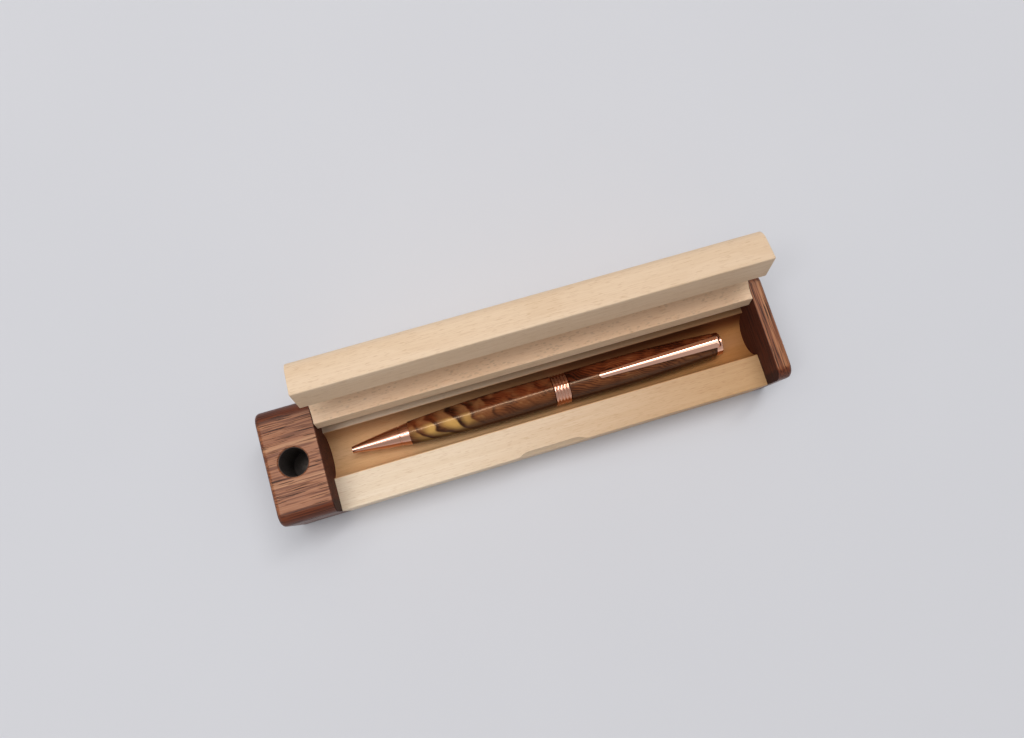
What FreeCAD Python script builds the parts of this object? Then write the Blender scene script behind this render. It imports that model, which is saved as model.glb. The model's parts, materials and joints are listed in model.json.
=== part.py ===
import FreeCAD
import Part
import math
import os

# Wooden pen case: a base with a half-round cove between two end blocks, a lid that turns on
# pins between the blocks, and the twist pen that lies in the cove.
# Millimetres. +X runs along the case from the thick block to the thin one, +Y points to the
# lid's pivot side, +Z is up. The origin is the centre of the underside.

# Case
case_width = 38.5
base_height = 17.0
lid_thickness = 12.0
lid_seat_gap = 0.1
lid_end_gap = 0.3
stand_block_length = 18.5
end_block_length = 5.5
edge_round = 4.5
end_round = 1.6
small_ease = 0.5
cove_radius = 7.9
room_at_nib = 8.0
room_at_cap = 10.8

# Thumb notch in the front edge of the base, cut by a round-nosed cutter
notch_offset = -2.5
notch_straight = 16.0
notch_depth = 1.5
notch_cutter_radius = 8.0
notch_cutter_above = 3.0

# Pen stand hole in the thick block
stand_hole_radius = 4.75
stand_hole_wall = 20.0
stand_hole_chamfer = 0.5
drill_point_angle = 118.0

# Lid pivot
pin_radius = 1.5
pin_running_gap = 0.05
pin_reach_in_lid = 8.0
pin_reach_in_stand_block = 8.0
pin_reach_in_end_block = 4.0
pin_end_gap = 0.4
pin_chamfer = 0.3
lid_open_angle = 102.5
lid_stop_gap = 0.06
lid_bevel_before_pivot = 1.4
lid_bevel_height = 5.0

# Pen barrels and their brass tubes
pen_cove_gap = 0.15
tube_outer_radius = 3.6
tube_wall = 0.35
barrel_peak_radius = 5.6
barrel_band_step = 0.15
lower_barrel_length = 51.8
lower_barrel_nib_wall = 0.55
lower_barrel_peak_from_band = 13.0
upper_barrel_length = 54.5
upper_barrel_cap_wall = 0.7
upper_barrel_peak_from_band = 16.4

# Pen nib, band, clip and cap
nib_length = 20.4
nib_step = 0.2
nib_tip_wall = 0.4
nib_belly = 0.12
nib_groove_from_base = 3.6
nib_groove_width = 0.5
nib_groove_depth = 0.15
nib_spigot_length = 4.0
nib_mouth_length = 5.0
nib_bore_taper = 3.0
band_length = 5.8
band_turning_gap = 0.1
band_ridges = 5
band_ridge_height = 0.35
cap_step = 0.2
cap_thickness = 1.9
cap_dome = 0.5
cap_stem_length = 6.0
clip_plate = 0.8
clip_length = 44.6
clip_root_width = 4.2
clip_tip_width = 2.1
clip_thickness = 1.1
clip_root_gap = 0.6
clip_tip_gap = 0.1
clip_bend = 1.2
clip_edge_round = 0.75

# Twist mechanism and refill
housing_length = 29.5
housing_wall = 0.5
cam_running_gap = 0.1
cam_wall = 0.65
cam_head_length = 8.0
cam_bore_spare = 4.0
carrier_running_gap = 0.1
carrier_wall = 0.4
carrier_length = 10.0
carrier_inset = 7.8
carrier_socket = 4.0
peg_from_socket = 3.5
peg_radius = 0.7
peg_side_gap = 0.15
peg_end_gap = 0.2
twist_turn = 180.0
twist_travel = 5.5
spiral_overrun = 12.0
refill_inset = 1.5
refill_ball_radius = 0.35
refill_point_radius = 0.65
refill_point_gap = 0.1
refill_point_taper = 2.0
refill_point_parallel = 9.0
refill_shoulder = 1.5
refill_tube_gap = 0.2

# Pen radii, each worked out from the piece that it fits
tube_inner_radius = tube_outer_radius - tube_wall
lower_barrel_start_radius = tube_outer_radius + lower_barrel_nib_wall
upper_barrel_end_radius = tube_outer_radius + upper_barrel_cap_wall
barrel_band_radius = barrel_peak_radius - barrel_band_step
cap_radius = upper_barrel_end_radius - cap_step
cam_radius = tube_inner_radius - housing_wall - cam_running_gap
cam_bore_radius = cam_radius - cam_wall
carrier_radius = cam_bore_radius - carrier_running_gap
refill_tube_radius = carrier_radius - carrier_wall
nib_bore_radius = refill_tube_radius + refill_tube_gap
nib_mouth_radius = refill_point_radius + refill_point_gap
nib_tip_radius = nib_mouth_radius + nib_tip_wall
nib_base_radius = lower_barrel_start_radius - nib_step

# The trough is as long as the pen with room for a fingertip at each end
pen_length = nib_length + lower_barrel_length + band_length + upper_barrel_length
pen_length = pen_length + clip_plate + cap_thickness
gap_length = room_at_nib + pen_length + room_at_cap
case_length = stand_block_length + gap_length + end_block_length
case_height = base_height + lid_seat_gap + lid_thickness
half_width = case_width / 2
left_end = -case_length / 2
right_end = case_length / 2
gap_left = left_end + stand_block_length
gap_right = right_end - end_block_length
lid_left = gap_left + lid_end_gap
lid_right = gap_right - lid_end_gap
lid_under = base_height + lid_seat_gap
pin_hole_radius = pin_radius + pin_running_gap

# The pivot is as far from the lid's back as lets the eased upper back edge come down on the
# rear ledge just when the lid reaches its open angle
open_turn = math.radians(lid_open_angle)
ease_above_pivot = lid_thickness / 2 - small_ease
stop_reach = lid_seat_gap + lid_thickness / 2 - lid_stop_gap - small_ease
pivot_from_back = small_ease + (stop_reach + ease_above_pivot * math.cos(open_turn)) / math.sin(open_turn)
pivot_y = half_width - pivot_from_back
pivot_z = lid_under + lid_thickness / 2

# Places along the pen
pen_axis_z = base_height - cove_radius + barrel_peak_radius + pen_cove_gap
pen_tip_x = gap_left + room_at_nib
lower_barrel_x = pen_tip_x + nib_length
lower_barrel_end = lower_barrel_x + lower_barrel_length
band_x = lower_barrel_end + band_turning_gap
upper_barrel_x = lower_barrel_end + band_length
upper_barrel_end = upper_barrel_x + upper_barrel_length
cap_x = upper_barrel_end + clip_plate
housing_x = lower_barrel_end - housing_length
carrier_x = housing_x + carrier_inset
refill_tip_x = pen_tip_x + refill_inset
refill_shoulder_x = refill_tip_x + refill_point_taper + refill_point_parallel
refill_tube_x = refill_shoulder_x + refill_shoulder
refill_tube_end = carrier_x + carrier_socket
peg_x = refill_tube_end + peg_from_socket

X_AXIS = FreeCAD.Vector(1, 0, 0)
Y_AXIS = FreeCAD.Vector(0, 1, 0)
Z_AXIS = FreeCAD.Vector(0, 0, 1)


def across(y, z):
    """A point of an outline that is drawn across the case and pushed along X."""
    return FreeCAD.Vector(0, y, z)


def along(x, radius):
    """A point of an outline that is drawn along the pen and turned about X."""
    return FreeCAD.Vector(x, 0, radius)


def side(x, z):
    """A point of an outline seen from the front and pushed along Y."""
    return FreeCAD.Vector(x, 0, z)


def plan(x, y):
    """A point of an outline seen from above and pushed along Z."""
    return FreeCAD.Vector(x, y, 0)


class Outline:
    """A closed outline drawn from point to point, with straight lines and arcs."""

    def __init__(self, place):
        self.place = place
        self.start = None
        self.here = None
        self.edges = []

    def line(self, *points):
        """Draw straight lines through the points."""
        for point in points:
            spot = self.place(*point)
            if self.here is None:
                self.start = spot
            elif self.here.distanceToPoint(spot) > 1e-7:
                self.edges.append(Part.makeLine(self.here, spot))
            self.here = spot
        return self

    def arc(self, middle, end):
        """Draw an arc through a middle point to an end point."""
        spot = self.place(*end)
        self.edges.append(Part.Arc(self.here, self.place(*middle), spot).toShape())
        self.here = spot
        return self

    def round(self, centre, radius, first, last):
        """Draw a straight line to an arc about a centre, and the arc between two angles."""
        angles = [math.radians(turn) for turn in (first, (first + last) / 2, last)]
        points = [
            (centre[0] + radius * math.cos(angle), centre[1] + radius * math.sin(angle))
            for angle in angles
        ]
        self.line(points[0])
        return self.arc(points[1], points[2])

    def face(self):
        """Close the outline and fill it."""
        if self.here.distanceToPoint(self.start) > 1e-7:
            self.edges.append(Part.makeLine(self.here, self.start))
        return Part.Face(Part.Wire(self.edges))

    def bar(self, start, end):
        """Push an outline that lies across the case from one X to another."""
        solid = self.face().extrude(X_AXIS * (end - start))
        solid.translate(X_AXIS * start)
        return solid

    def turned(self):
        """Turn an outline that lies along the pen once about the pen's axis."""
        solid = self.face().revolve(FreeCAD.Vector(0, 0, 0), X_AXIS, 360)
        solid.translate(Z_AXIS * pen_axis_z)
        return solid


def rod(radius, start, end, y, z):
    """A plain round bar along X."""
    return Part.makeCylinder(radius, end - start, FreeCAD.Vector(start, y, z), X_AXIS)


def tube(outer, inner, start, end):
    """A plain tube on the pen's axis."""
    return rod(outer, start, end, 0, pen_axis_z).cut(rod(inner, start, end, 0, pen_axis_z))


def make_base():
    """Maple block with the cove along its top and the thumb notch in its front edge."""
    outline = Outline(across)
    outline.line((-half_width, 0))
    outline.round((-half_width + small_ease, base_height - small_ease), small_ease, 180, 90)
    outline.round((0, base_height), cove_radius, 180, 360)
    outline.round((half_width - small_ease, base_height - small_ease), small_ease, 90, 0)
    outline.line((half_width, 0))
    return outline.bar(gap_left, gap_right).cut(notch_cutter())


def notch_cutter():
    """Round-nosed cutter, held in front of and above the base's front edge."""
    reach = math.sqrt(notch_cutter_radius ** 2 - notch_cutter_above ** 2)
    y = -half_width + notch_depth - reach
    z = base_height + notch_cutter_above
    centre_x = (gap_left + gap_right) / 2 + notch_offset
    ends = [centre_x + sign * notch_straight / 2 for sign in (-1, 1)]
    cutter = rod(notch_cutter_radius, ends[0], ends[1], y, z)
    for x in ends:
        cutter = cutter.fuse(Part.makeSphere(notch_cutter_radius, FreeCAD.Vector(x, y, z)))
    return cutter


def block_body(start, end, outer_x):
    """End block with rounded top edges and a softened outer end."""
    outline = Outline(across)
    outline.line((-half_width, 0))
    outline.round((-half_width + edge_round, case_height - edge_round), edge_round, 180, 90)
    outline.round((half_width - edge_round, case_height - edge_round), edge_round, 90, 0)
    outline.line((half_width, 0))
    body = outline.bar(start, end)
    rim = [edge for edge in body.Edges if on_outer_rim(edge, outer_x)]
    return body.makeFillet(end_round, rim)


def on_outer_rim(edge, outer_x):
    """True for the edges of a block's outer end, apart from the one it stands on."""
    box = edge.BoundBox
    return abs(box.XMin - outer_x) < 1e-6 and abs(box.XMax - outer_x) < 1e-6 and box.ZMax > 1e-6


def stand_hole():
    """Drilled blind hole with a chamfered mouth, for standing the pen on its nose."""
    centre_x = (left_end + gap_left) / 2
    mouth = case_height - stand_hole_chamfer
    bottom = mouth - stand_hole_wall
    point = stand_hole_radius / math.tan(math.radians(drill_point_angle / 2))
    wide = stand_hole_radius + stand_hole_chamfer
    outline = Outline(side)
    outline.line((0, bottom - point), (stand_hole_radius, bottom), (stand_hole_radius, mouth))
    outline.line((wide, case_height), (0, case_height))
    hole = outline.face().revolve(FreeCAD.Vector(0, 0, 0), Z_AXIS, 360)
    hole.translate(X_AXIS * centre_x)
    return hole


def make_stand_block():
    """Thick end block with the pen stand hole and the seat of the left pin."""
    body = block_body(left_end, gap_left, left_end)
    seat = rod(pin_radius, gap_left - pin_reach_in_stand_block, gap_left, pivot_y, pivot_z)
    return body.cut(stand_hole()).cut(seat)


def make_end_block():
    """Thin end block with the seat of the right pin."""
    body = block_body(gap_right, right_end, right_end)
    seat = rod(pin_radius, gap_right, gap_right + pin_reach_in_end_block, pivot_y, pivot_z)
    return body.cut(seat)


def make_pin(start, end):
    """Hinge pin with chamfered ends."""
    outline = Outline(along)
    outline.line((start, 0), (start, pin_radius - pin_chamfer), (start + pin_chamfer, pin_radius))
    outline.line((end - pin_chamfer, pin_radius), (end, pin_radius - pin_chamfer), (end, 0))
    pin = outline.face().revolve(FreeCAD.Vector(0, 0, 0), X_AXIS, 360)
    pin.translate(FreeCAD.Vector(0, pivot_y, pivot_z))
    return pin


def make_left_pin():
    """Pin pressed into the thick block."""
    return make_pin(gap_left - pin_reach_in_stand_block, lid_left + pin_reach_in_lid)


def make_right_pin():
    """Pin pressed into the thin block."""
    return make_pin(lid_right - pin_reach_in_lid, gap_right + pin_reach_in_end_block)


def make_lid():
    """Maple lid, drawn shut and swung open.

    The under edge at the back is bevelled so that it swings clear of the base. The upper edge at
    the back comes down on the rear ledge when the lid leans back, and stops it there.
    """
    top = lid_under + lid_thickness
    outline = Outline(across)
    outline.round((-half_width + small_ease, lid_under + small_ease), small_ease, 270, 180)
    outline.round((-half_width + edge_round, top - edge_round), edge_round, 180, 90)
    outline.round((half_width - small_ease, top - small_ease), small_ease, 90, 0)
    outline.line((half_width, lid_under + lid_bevel_height))
    outline.line((pivot_y - lid_bevel_before_pivot, lid_under))
    outline.round((0, lid_under), cove_radius, 0, 180)
    lid = outline.bar(lid_left, lid_right)
    depth = pin_reach_in_lid + pin_end_gap
    lid = lid.cut(rod(pin_hole_radius, lid_left, lid_left + depth, pivot_y, pivot_z))
    lid = lid.cut(rod(pin_hole_radius, lid_right - depth, lid_right, pivot_y, pivot_z))
    lid.rotate(FreeCAD.Vector(0, pivot_y, pivot_z), X_AXIS, -lid_open_angle)
    return lid


def make_nib():
    """Hollow cone with a groove near its base and a spigot for the lower tube."""
    base = lower_barrel_x
    groove = base - nib_groove_from_base
    middle = (pen_tip_x + groove) / 2
    slope = (nib_base_radius - nib_tip_radius) / nib_length
    middle_radius = nib_tip_radius + slope * (middle - pen_tip_x) + nib_belly
    groove_radius = nib_tip_radius + slope * (groove - pen_tip_x)
    bore_end = pen_tip_x + nib_mouth_length + nib_bore_taper
    spigot_end = base + nib_spigot_length
    outline = Outline(along)
    outline.line((pen_tip_x, nib_mouth_radius), (pen_tip_x, nib_tip_radius))
    outline.arc((middle, middle_radius), (groove, groove_radius))
    outline.line((groove, groove_radius - nib_groove_depth))
    outline.line((groove + nib_groove_width, groove_radius - nib_groove_depth))
    outline.line((groove + nib_groove_width, groove_radius + slope * nib_groove_width))
    outline.line((base, nib_base_radius), (base, tube_inner_radius), (spigot_end, tube_inner_radius))
    outline.line((spigot_end, nib_bore_radius), (bore_end, nib_bore_radius))
    outline.line((pen_tip_x + nib_mouth_length, nib_mouth_radius))
    return outline.turned()


def draw_swell(outline, start, peak, end):
    """Draw a barrel's side: one arc up to its thickest place and one arc down from there."""
    for near, far in ((start, peak), (end, peak)):
        run = abs(far[0] - near[0])
        drop = far[1] - near[1]
        radius = (run * run + drop * drop) / (2 * drop)
        turn = math.degrees(math.asin(run / radius))
        centre = (peak[0], peak[1] - radius)
        if near is start:
            outline.round(centre, radius, 90 + turn, 90)
        else:
            outline.round(centre, radius, 90, 90 - turn)


def make_lower_barrel():
    """Turned wooden sleeve that swells from the nib to the centre band."""
    outline = Outline(along)
    outline.line((lower_barrel_x, tube_outer_radius))
    start = (lower_barrel_x, lower_barrel_start_radius)
    peak = (lower_barrel_end - lower_barrel_peak_from_band, barrel_peak_radius)
    draw_swell(outline, start, peak, (lower_barrel_end, barrel_band_radius))
    outline.line((lower_barrel_end, tube_outer_radius))
    return outline.turned()


def make_lower_tube():
    """Brass lining of the lower barrel."""
    return tube(tube_outer_radius, tube_inner_radius, lower_barrel_x, lower_barrel_end)


def peg_hole(x, turn):
    """Clearance hole round the peg, at a place along the pen and a turn about its axis."""
    start = FreeCAD.Vector(x, 0, pen_axis_z)
    hole = Part.makeCylinder(peg_radius + peg_side_gap, 2 * tube_inner_radius, start, Z_AXIS)
    hole.rotate(start, X_AXIS, -turn)
    return hole


def make_twist_housing():
    """Sleeve pressed into the lower tube, with a straight slot that keeps the peg from turning."""
    sleeve = tube(tube_inner_radius, cam_radius + cam_running_gap, housing_x, lower_barrel_end)
    width = 2 * (peg_radius + peg_side_gap)
    corner = FreeCAD.Vector(peg_x - twist_travel, -width / 2, pen_axis_z)
    slot = Part.makeBox(twist_travel, width, 2 * tube_inner_radius, corner)
    return sleeve.cut([slot, peg_hole(peg_x, 0), peg_hole(peg_x - twist_travel, 0)])


def spiral_slot():
    """Cutter for the cam's slot, which carries the peg forward as the cam is turned.

    It is drawn round Z and then laid along the pen. Its width along the pen allows for the slope
    of the spiral, and it runs on a little past both ends of the peg's path.
    """
    centre = FreeCAD.Vector(0, 0, 0)
    middle = (cam_bore_radius + cam_radius) / 2
    pitch = twist_travel * 360 / twist_turn
    overrun = pitch * spiral_overrun / 360
    slope = math.atan(pitch / (2 * math.pi * middle))
    half = (peg_radius + peg_side_gap) / math.cos(slope)
    inner = middle - cam_wall
    outer = middle + cam_wall
    outline = Outline(side)
    outline.line((inner, -half), (outer, -half), (outer, half), (inner, half))
    spiral = Part.makeHelix(pitch, twist_travel + 2 * overrun, middle)
    sweep = Part.BRepOffsetAPI.MakePipeShell(Part.Wire(spiral.Edges))
    sweep.setFrenetMode(True)
    sweep.add(outline.face().OuterWire)
    sweep.build()
    sweep.makeSolid()
    slot = sweep.shape()
    slot.rotate(centre, Z_AXIS, -spiral_overrun)
    slot.rotate(centre, Y_AXIS, -90)
    slot.translate(FreeCAD.Vector(peg_x + overrun, 0, pen_axis_z))
    return slot


def make_twist_cam():
    """Hollow shaft with a spiral slot, turning in the housing, its head pressed into the upper tube."""
    head_end = upper_barrel_x + cam_head_length
    bore_end = carrier_x + carrier_length + cam_bore_spare
    outline = Outline(along)
    outline.line((housing_x, cam_bore_radius), (housing_x, cam_radius), (upper_barrel_x, cam_radius))
    outline.line((upper_barrel_x, tube_inner_radius), (head_end, tube_inner_radius), (head_end, 0))
    outline.line((bore_end, 0), (bore_end, cam_bore_radius))
    ends = [peg_hole(peg_x, 0), peg_hole(peg_x - twist_travel, twist_turn)]
    return outline.turned().cut([spiral_slot()] + ends)


def make_twist_carrier():
    """Plunger with a socket for the refill and a peg that runs in both slots."""
    outline = Outline(along)
    outline.line((carrier_x, refill_tube_radius), (carrier_x, carrier_radius))
    end = carrier_x + carrier_length
    outline.line((end, carrier_radius), (end, 0), (refill_tube_end, 0))
    outline.line((refill_tube_end, refill_tube_radius))
    foot = FreeCAD.Vector(peg_x, 0, pen_axis_z)
    peg = Part.makeCylinder(peg_radius, tube_inner_radius - peg_end_gap, foot, Z_AXIS)
    return outline.turned().fuse(peg).removeSplitter()


def make_refill_point():
    """Writing point with a rounded ball end, drawn in behind the mouth of the nib."""
    parallel = refill_tip_x + refill_point_taper
    outline = Outline(along)
    outline.round((refill_tip_x + refill_ball_radius, 0), refill_ball_radius, 180, 90)
    outline.line((parallel, refill_point_radius), (refill_shoulder_x, refill_point_radius))
    outline.line((refill_tube_x, refill_tube_radius), (refill_tube_x, 0))
    return outline.turned()


def make_refill_tube():
    """Ink tube between the writing point and the plunger."""
    return rod(refill_tube_radius, refill_tube_x, refill_tube_end, 0, pen_axis_z)


def make_centre_band():
    """Ribbed ring between the two barrels."""
    width = upper_barrel_x - band_x
    pitch = width / band_ridges
    valley = barrel_band_radius - band_ridge_height
    outline = Outline(along)
    outline.line((band_x, cam_radius), (band_x, valley))
    for ridge in range(band_ridges):
        start = band_x + ridge * pitch
        outline.arc((start + pitch / 2, barrel_band_radius), (start + pitch, valley))
    outline.line((upper_barrel_x, cam_radius))
    return outline.turned()


def make_upper_barrel():
    """Turned wooden sleeve that narrows from the centre band to the clip."""
    outline = Outline(along)
    outline.line((upper_barrel_x, tube_outer_radius))
    start = (upper_barrel_x, barrel_band_radius)
    peak = (upper_barrel_x + upper_barrel_peak_from_band, barrel_peak_radius)
    draw_swell(outline, start, peak, (upper_barrel_end, upper_barrel_end_radius))
    outline.line((upper_barrel_end, tube_outer_radius))
    return outline.turned()


def make_upper_tube():
    """Brass lining of the upper barrel."""
    return tube(tube_outer_radius, tube_inner_radius, upper_barrel_x, upper_barrel_end)


def make_end_cap():
    """Flat button with a slightly domed end, on a stem pressed into the upper tube."""
    end = cap_x + cap_thickness
    stem = upper_barrel_end - cap_stem_length
    outline = Outline(along)
    outline.line((stem, 0), (stem, tube_inner_radius), (cap_x, tube_inner_radius))
    outline.line((cap_x, cap_radius))
    radius = (cap_radius * cap_radius + cap_dome * cap_dome) / (2 * cap_dome)
    outline.round((end - radius, 0), radius, math.degrees(math.asin(cap_radius / radius)), 0)
    return outline.turned()


def clip_side():
    """Clip seen from the front: plate down to the cap's stem, bend, and sprung arm."""
    root_low = barrel_peak_radius + clip_root_gap
    root_high = root_low + clip_thickness
    tip_low = barrel_peak_radius + clip_tip_gap
    tip = cap_x - clip_length
    outline = Outline(side)
    outline.line((upper_barrel_end, 0), (cap_x, 0))
    outline.round((cap_x - clip_bend, root_high - clip_bend), clip_bend, 0, 90)
    outline.line((tip, tip_low + clip_thickness), (tip, tip_low))
    outline.line((upper_barrel_end - clip_bend, root_low), (upper_barrel_end, root_low - clip_bend))
    return outline.face()


def clip_plan():
    """Clip seen from above: tapered arm with a rounded tip, and the round plate at its root."""
    root = clip_root_width / 2
    tip = clip_tip_width / 2
    tip_x = cap_x - clip_length + tip
    outline = Outline(plan)
    outline.line((cap_x, -root), (cap_x, root), (tip_x, tip))
    outline.arc((tip_x - tip, 0), (tip_x, -tip))
    return outline.face()


def make_clip():
    """Tapered sprung clip with a ring held under the end cap."""
    wide = clip_root_width
    profile = clip_side().extrude(FreeCAD.Vector(0, 2 * wide, 0))
    profile.translate(FreeCAD.Vector(0, -wide, pen_axis_z))
    arm = profile.common(clip_plan().extrude(Z_AXIS * 2 * case_height))
    crown = [edge for edge in arm.Edges if on_clip_crown(edge)]
    arm = arm.makeFillet(clip_edge_round, crown)
    ring = rod(cap_radius, upper_barrel_end, cap_x, 0, pen_axis_z)
    stem = rod(tube_inner_radius, upper_barrel_end, cap_x, 0, pen_axis_z)
    return arm.fuse(ring).cut(stem).removeSplitter()


def on_clip_crown(edge):
    """True for the long upper edges of the clip's arm."""
    box = edge.BoundBox
    crown_z = pen_axis_z + barrel_peak_radius + clip_root_gap + clip_thickness
    return box.XLength > clip_length / 2 and box.ZMax > crown_z - clip_edge_round


PIECES = {
    "base": make_base,
    "stand_block": make_stand_block,
    "end_block": make_end_block,
    "left_hinge_pin": make_left_pin,
    "right_hinge_pin": make_right_pin,
    "lid": make_lid,
    "nib_cone": make_nib,
    "lower_barrel": make_lower_barrel,
    "lower_tube": make_lower_tube,
    "twist_housing": make_twist_housing,
    "twist_cam": make_twist_cam,
    "twist_carrier": make_twist_carrier,
    "refill_point": make_refill_point,
    "refill_tube": make_refill_tube,
    "centre_band": make_centre_band,
    "upper_barrel": make_upper_barrel,
    "upper_tube": make_upper_tube,
    "clip": make_clip,
    "end_cap": make_end_cap,
}

os.makedirs("parts", exist_ok=True)
for name, make in PIECES.items():
    make().exportStep(f"parts/{name}.step")
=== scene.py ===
"""Looks of a wooden pen case: maple base and lid, dark end blocks, and the twist pen in its trough."""

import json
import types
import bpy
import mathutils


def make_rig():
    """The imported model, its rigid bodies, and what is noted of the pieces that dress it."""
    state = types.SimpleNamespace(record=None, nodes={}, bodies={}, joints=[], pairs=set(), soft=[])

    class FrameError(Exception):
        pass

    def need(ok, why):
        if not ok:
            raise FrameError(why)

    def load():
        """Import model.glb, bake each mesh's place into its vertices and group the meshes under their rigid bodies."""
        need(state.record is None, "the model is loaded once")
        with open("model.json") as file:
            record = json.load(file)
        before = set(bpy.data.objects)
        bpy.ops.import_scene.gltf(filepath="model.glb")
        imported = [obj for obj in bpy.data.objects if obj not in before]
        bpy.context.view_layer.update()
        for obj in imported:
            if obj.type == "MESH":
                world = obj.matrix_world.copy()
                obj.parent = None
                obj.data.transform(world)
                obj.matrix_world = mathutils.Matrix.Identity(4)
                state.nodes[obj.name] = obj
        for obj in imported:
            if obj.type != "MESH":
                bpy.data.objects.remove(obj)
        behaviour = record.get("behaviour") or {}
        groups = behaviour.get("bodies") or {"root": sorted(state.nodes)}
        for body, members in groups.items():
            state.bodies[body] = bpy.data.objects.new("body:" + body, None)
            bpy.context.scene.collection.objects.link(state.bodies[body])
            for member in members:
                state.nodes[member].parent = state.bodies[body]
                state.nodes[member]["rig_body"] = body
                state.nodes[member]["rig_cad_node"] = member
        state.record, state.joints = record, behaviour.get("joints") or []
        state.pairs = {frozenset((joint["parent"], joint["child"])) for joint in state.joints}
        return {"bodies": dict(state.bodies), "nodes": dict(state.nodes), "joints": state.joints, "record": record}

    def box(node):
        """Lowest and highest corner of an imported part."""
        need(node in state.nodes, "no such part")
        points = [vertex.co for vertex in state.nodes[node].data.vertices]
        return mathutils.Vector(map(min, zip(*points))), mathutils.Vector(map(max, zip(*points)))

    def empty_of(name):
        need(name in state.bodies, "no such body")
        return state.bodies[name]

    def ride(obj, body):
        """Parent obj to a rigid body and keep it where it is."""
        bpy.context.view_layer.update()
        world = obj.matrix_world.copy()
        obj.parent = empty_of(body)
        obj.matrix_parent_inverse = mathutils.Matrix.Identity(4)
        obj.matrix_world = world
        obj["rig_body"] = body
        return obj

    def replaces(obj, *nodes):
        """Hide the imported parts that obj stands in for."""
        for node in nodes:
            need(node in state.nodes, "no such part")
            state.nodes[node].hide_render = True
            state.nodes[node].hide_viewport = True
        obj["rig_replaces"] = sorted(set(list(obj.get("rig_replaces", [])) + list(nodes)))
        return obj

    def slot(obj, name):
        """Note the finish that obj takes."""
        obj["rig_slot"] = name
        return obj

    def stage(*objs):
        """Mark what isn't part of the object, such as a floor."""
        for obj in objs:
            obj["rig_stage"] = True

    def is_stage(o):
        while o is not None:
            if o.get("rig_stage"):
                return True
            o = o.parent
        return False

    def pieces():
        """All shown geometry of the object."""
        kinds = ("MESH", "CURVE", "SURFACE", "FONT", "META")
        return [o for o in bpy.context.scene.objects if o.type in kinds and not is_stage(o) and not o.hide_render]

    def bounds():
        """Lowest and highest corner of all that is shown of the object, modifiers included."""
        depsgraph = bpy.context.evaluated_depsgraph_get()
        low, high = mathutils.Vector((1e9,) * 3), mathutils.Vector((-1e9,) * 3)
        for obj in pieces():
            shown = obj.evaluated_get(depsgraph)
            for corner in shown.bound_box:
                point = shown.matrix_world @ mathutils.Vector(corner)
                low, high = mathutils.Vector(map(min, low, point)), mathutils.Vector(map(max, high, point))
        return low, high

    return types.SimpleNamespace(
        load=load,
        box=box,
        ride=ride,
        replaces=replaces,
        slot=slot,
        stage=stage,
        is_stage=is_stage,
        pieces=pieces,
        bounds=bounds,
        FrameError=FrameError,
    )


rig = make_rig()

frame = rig.load()
cad_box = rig.bounds()

import json
import logging
import math
from dataclasses import dataclass
from enum import Enum
from typing import Callable, Optional, Union

import bmesh
import bpy
from mathutils import Matrix, Vector

LOG = logging.getLogger("pen_case")

MM = 0.001
SIZE_FILE = "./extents.json"
MERGE_DISTANCE = 0.001 * MM
FLAT_ANGLE = math.radians(0.3)
BLACK = (0.0, 0.0, 0.0)
SLOTS = {part["node"]: part["material_slot"] for part in frame["record"]["subparts"]}

Colour = tuple[float, float, float]
Triple = tuple[float, float, float]
Span = tuple[float, float]
Relief = tuple[float, float]
Socket = bpy.types.NodeSocket
Value = Union[Socket, float, Triple]
Course = Callable[[Socket], Socket]
Rule = Callable[[Socket, Socket], Socket]
Form = Callable[[bmesh.types.BMesh], None]


class Body(Enum):
    """The bodies of the frame that carry pieces."""

    CASE = "case"
    LID = "lid"
    PEN_UPPER = "pen_upper"
    PEN_LOWER = "pen_lower"
    REFILL = "refill"


class Grain(Enum):
    """Direction of a wood's grain, as a turn about Z that lays it along X."""

    ALONG = 0.0
    ACROSS = -90.0


class Graph:
    """A node tree under construction, with short calls for the nodes that the finishes share."""

    def __init__(self, tree: bpy.types.NodeTree) -> None:
        """Take over a tree and empty it.

        Args:
            tree: the node tree to build in.
        """
        self.tree = tree
        self.tree.nodes.clear()

    def add(self, kind: str, **settings: object) -> bpy.types.Node:
        """Add a node.

        Args:
            kind: the node's type name.
            settings: the node's own properties.

        Returns:
            The new node.
        """
        node = self.tree.nodes.new(kind)
        for key, setting in settings.items():
            setattr(node, key, setting)
        return node

    def feed(self, socket: Socket, value: Value) -> None:
        """Link a socket to another socket, or set its own value.

        Args:
            socket: the input to feed.
            value: a socket, a number or a vector.
        """
        if isinstance(value, bpy.types.NodeSocket):
            self.tree.links.new(value, socket)
        else:
            socket.default_value = value

    def call(self, kind: str, inputs: dict, output: Union[int, str] = 0, **settings: object) -> Socket:
        """Add a node, feed it and hand back one output.

        Args:
            kind: the node's type name.
            inputs: what each input gets, by its name or place.
            output: the name or place of the wanted output.
            settings: the node's own properties.

        Returns:
            The wanted output.
        """
        node = self.add(kind, **settings)
        for key, value in inputs.items():
            self.feed(node.inputs[key], value)
        return node.outputs[output]

    def math(self, operation: str, first: Value, second: Value = 0.0) -> Socket:
        """Work out one step of arithmetic with a Math node's operation."""
        return self.call("ShaderNodeMath", {0: first, 1: second}, operation=operation)

    def product(self, first: Value, *others: Value) -> Socket:
        """Multiply numbers.

        Args:
            first: the first number.
            others: the other numbers, in order.

        Returns:
            Their product.
        """
        for other in others:
            first = self.math("MULTIPLY", first, other)
        return first

    def seen(self) -> Socket:
        """Tell rays that show a surface from rays that only carry its light.

        Returns:
            1 for the camera, a mirror image and clear stuff, and 0 for the rest.
        """
        rays = self.add("ShaderNodeLightPath").outputs
        seen = self.math("MAXIMUM", rays["Is Camera Ray"], rays["Is Glossy Ray"])
        return self.math("MAXIMUM", seen, rays["Is Transmission Ray"])


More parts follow.
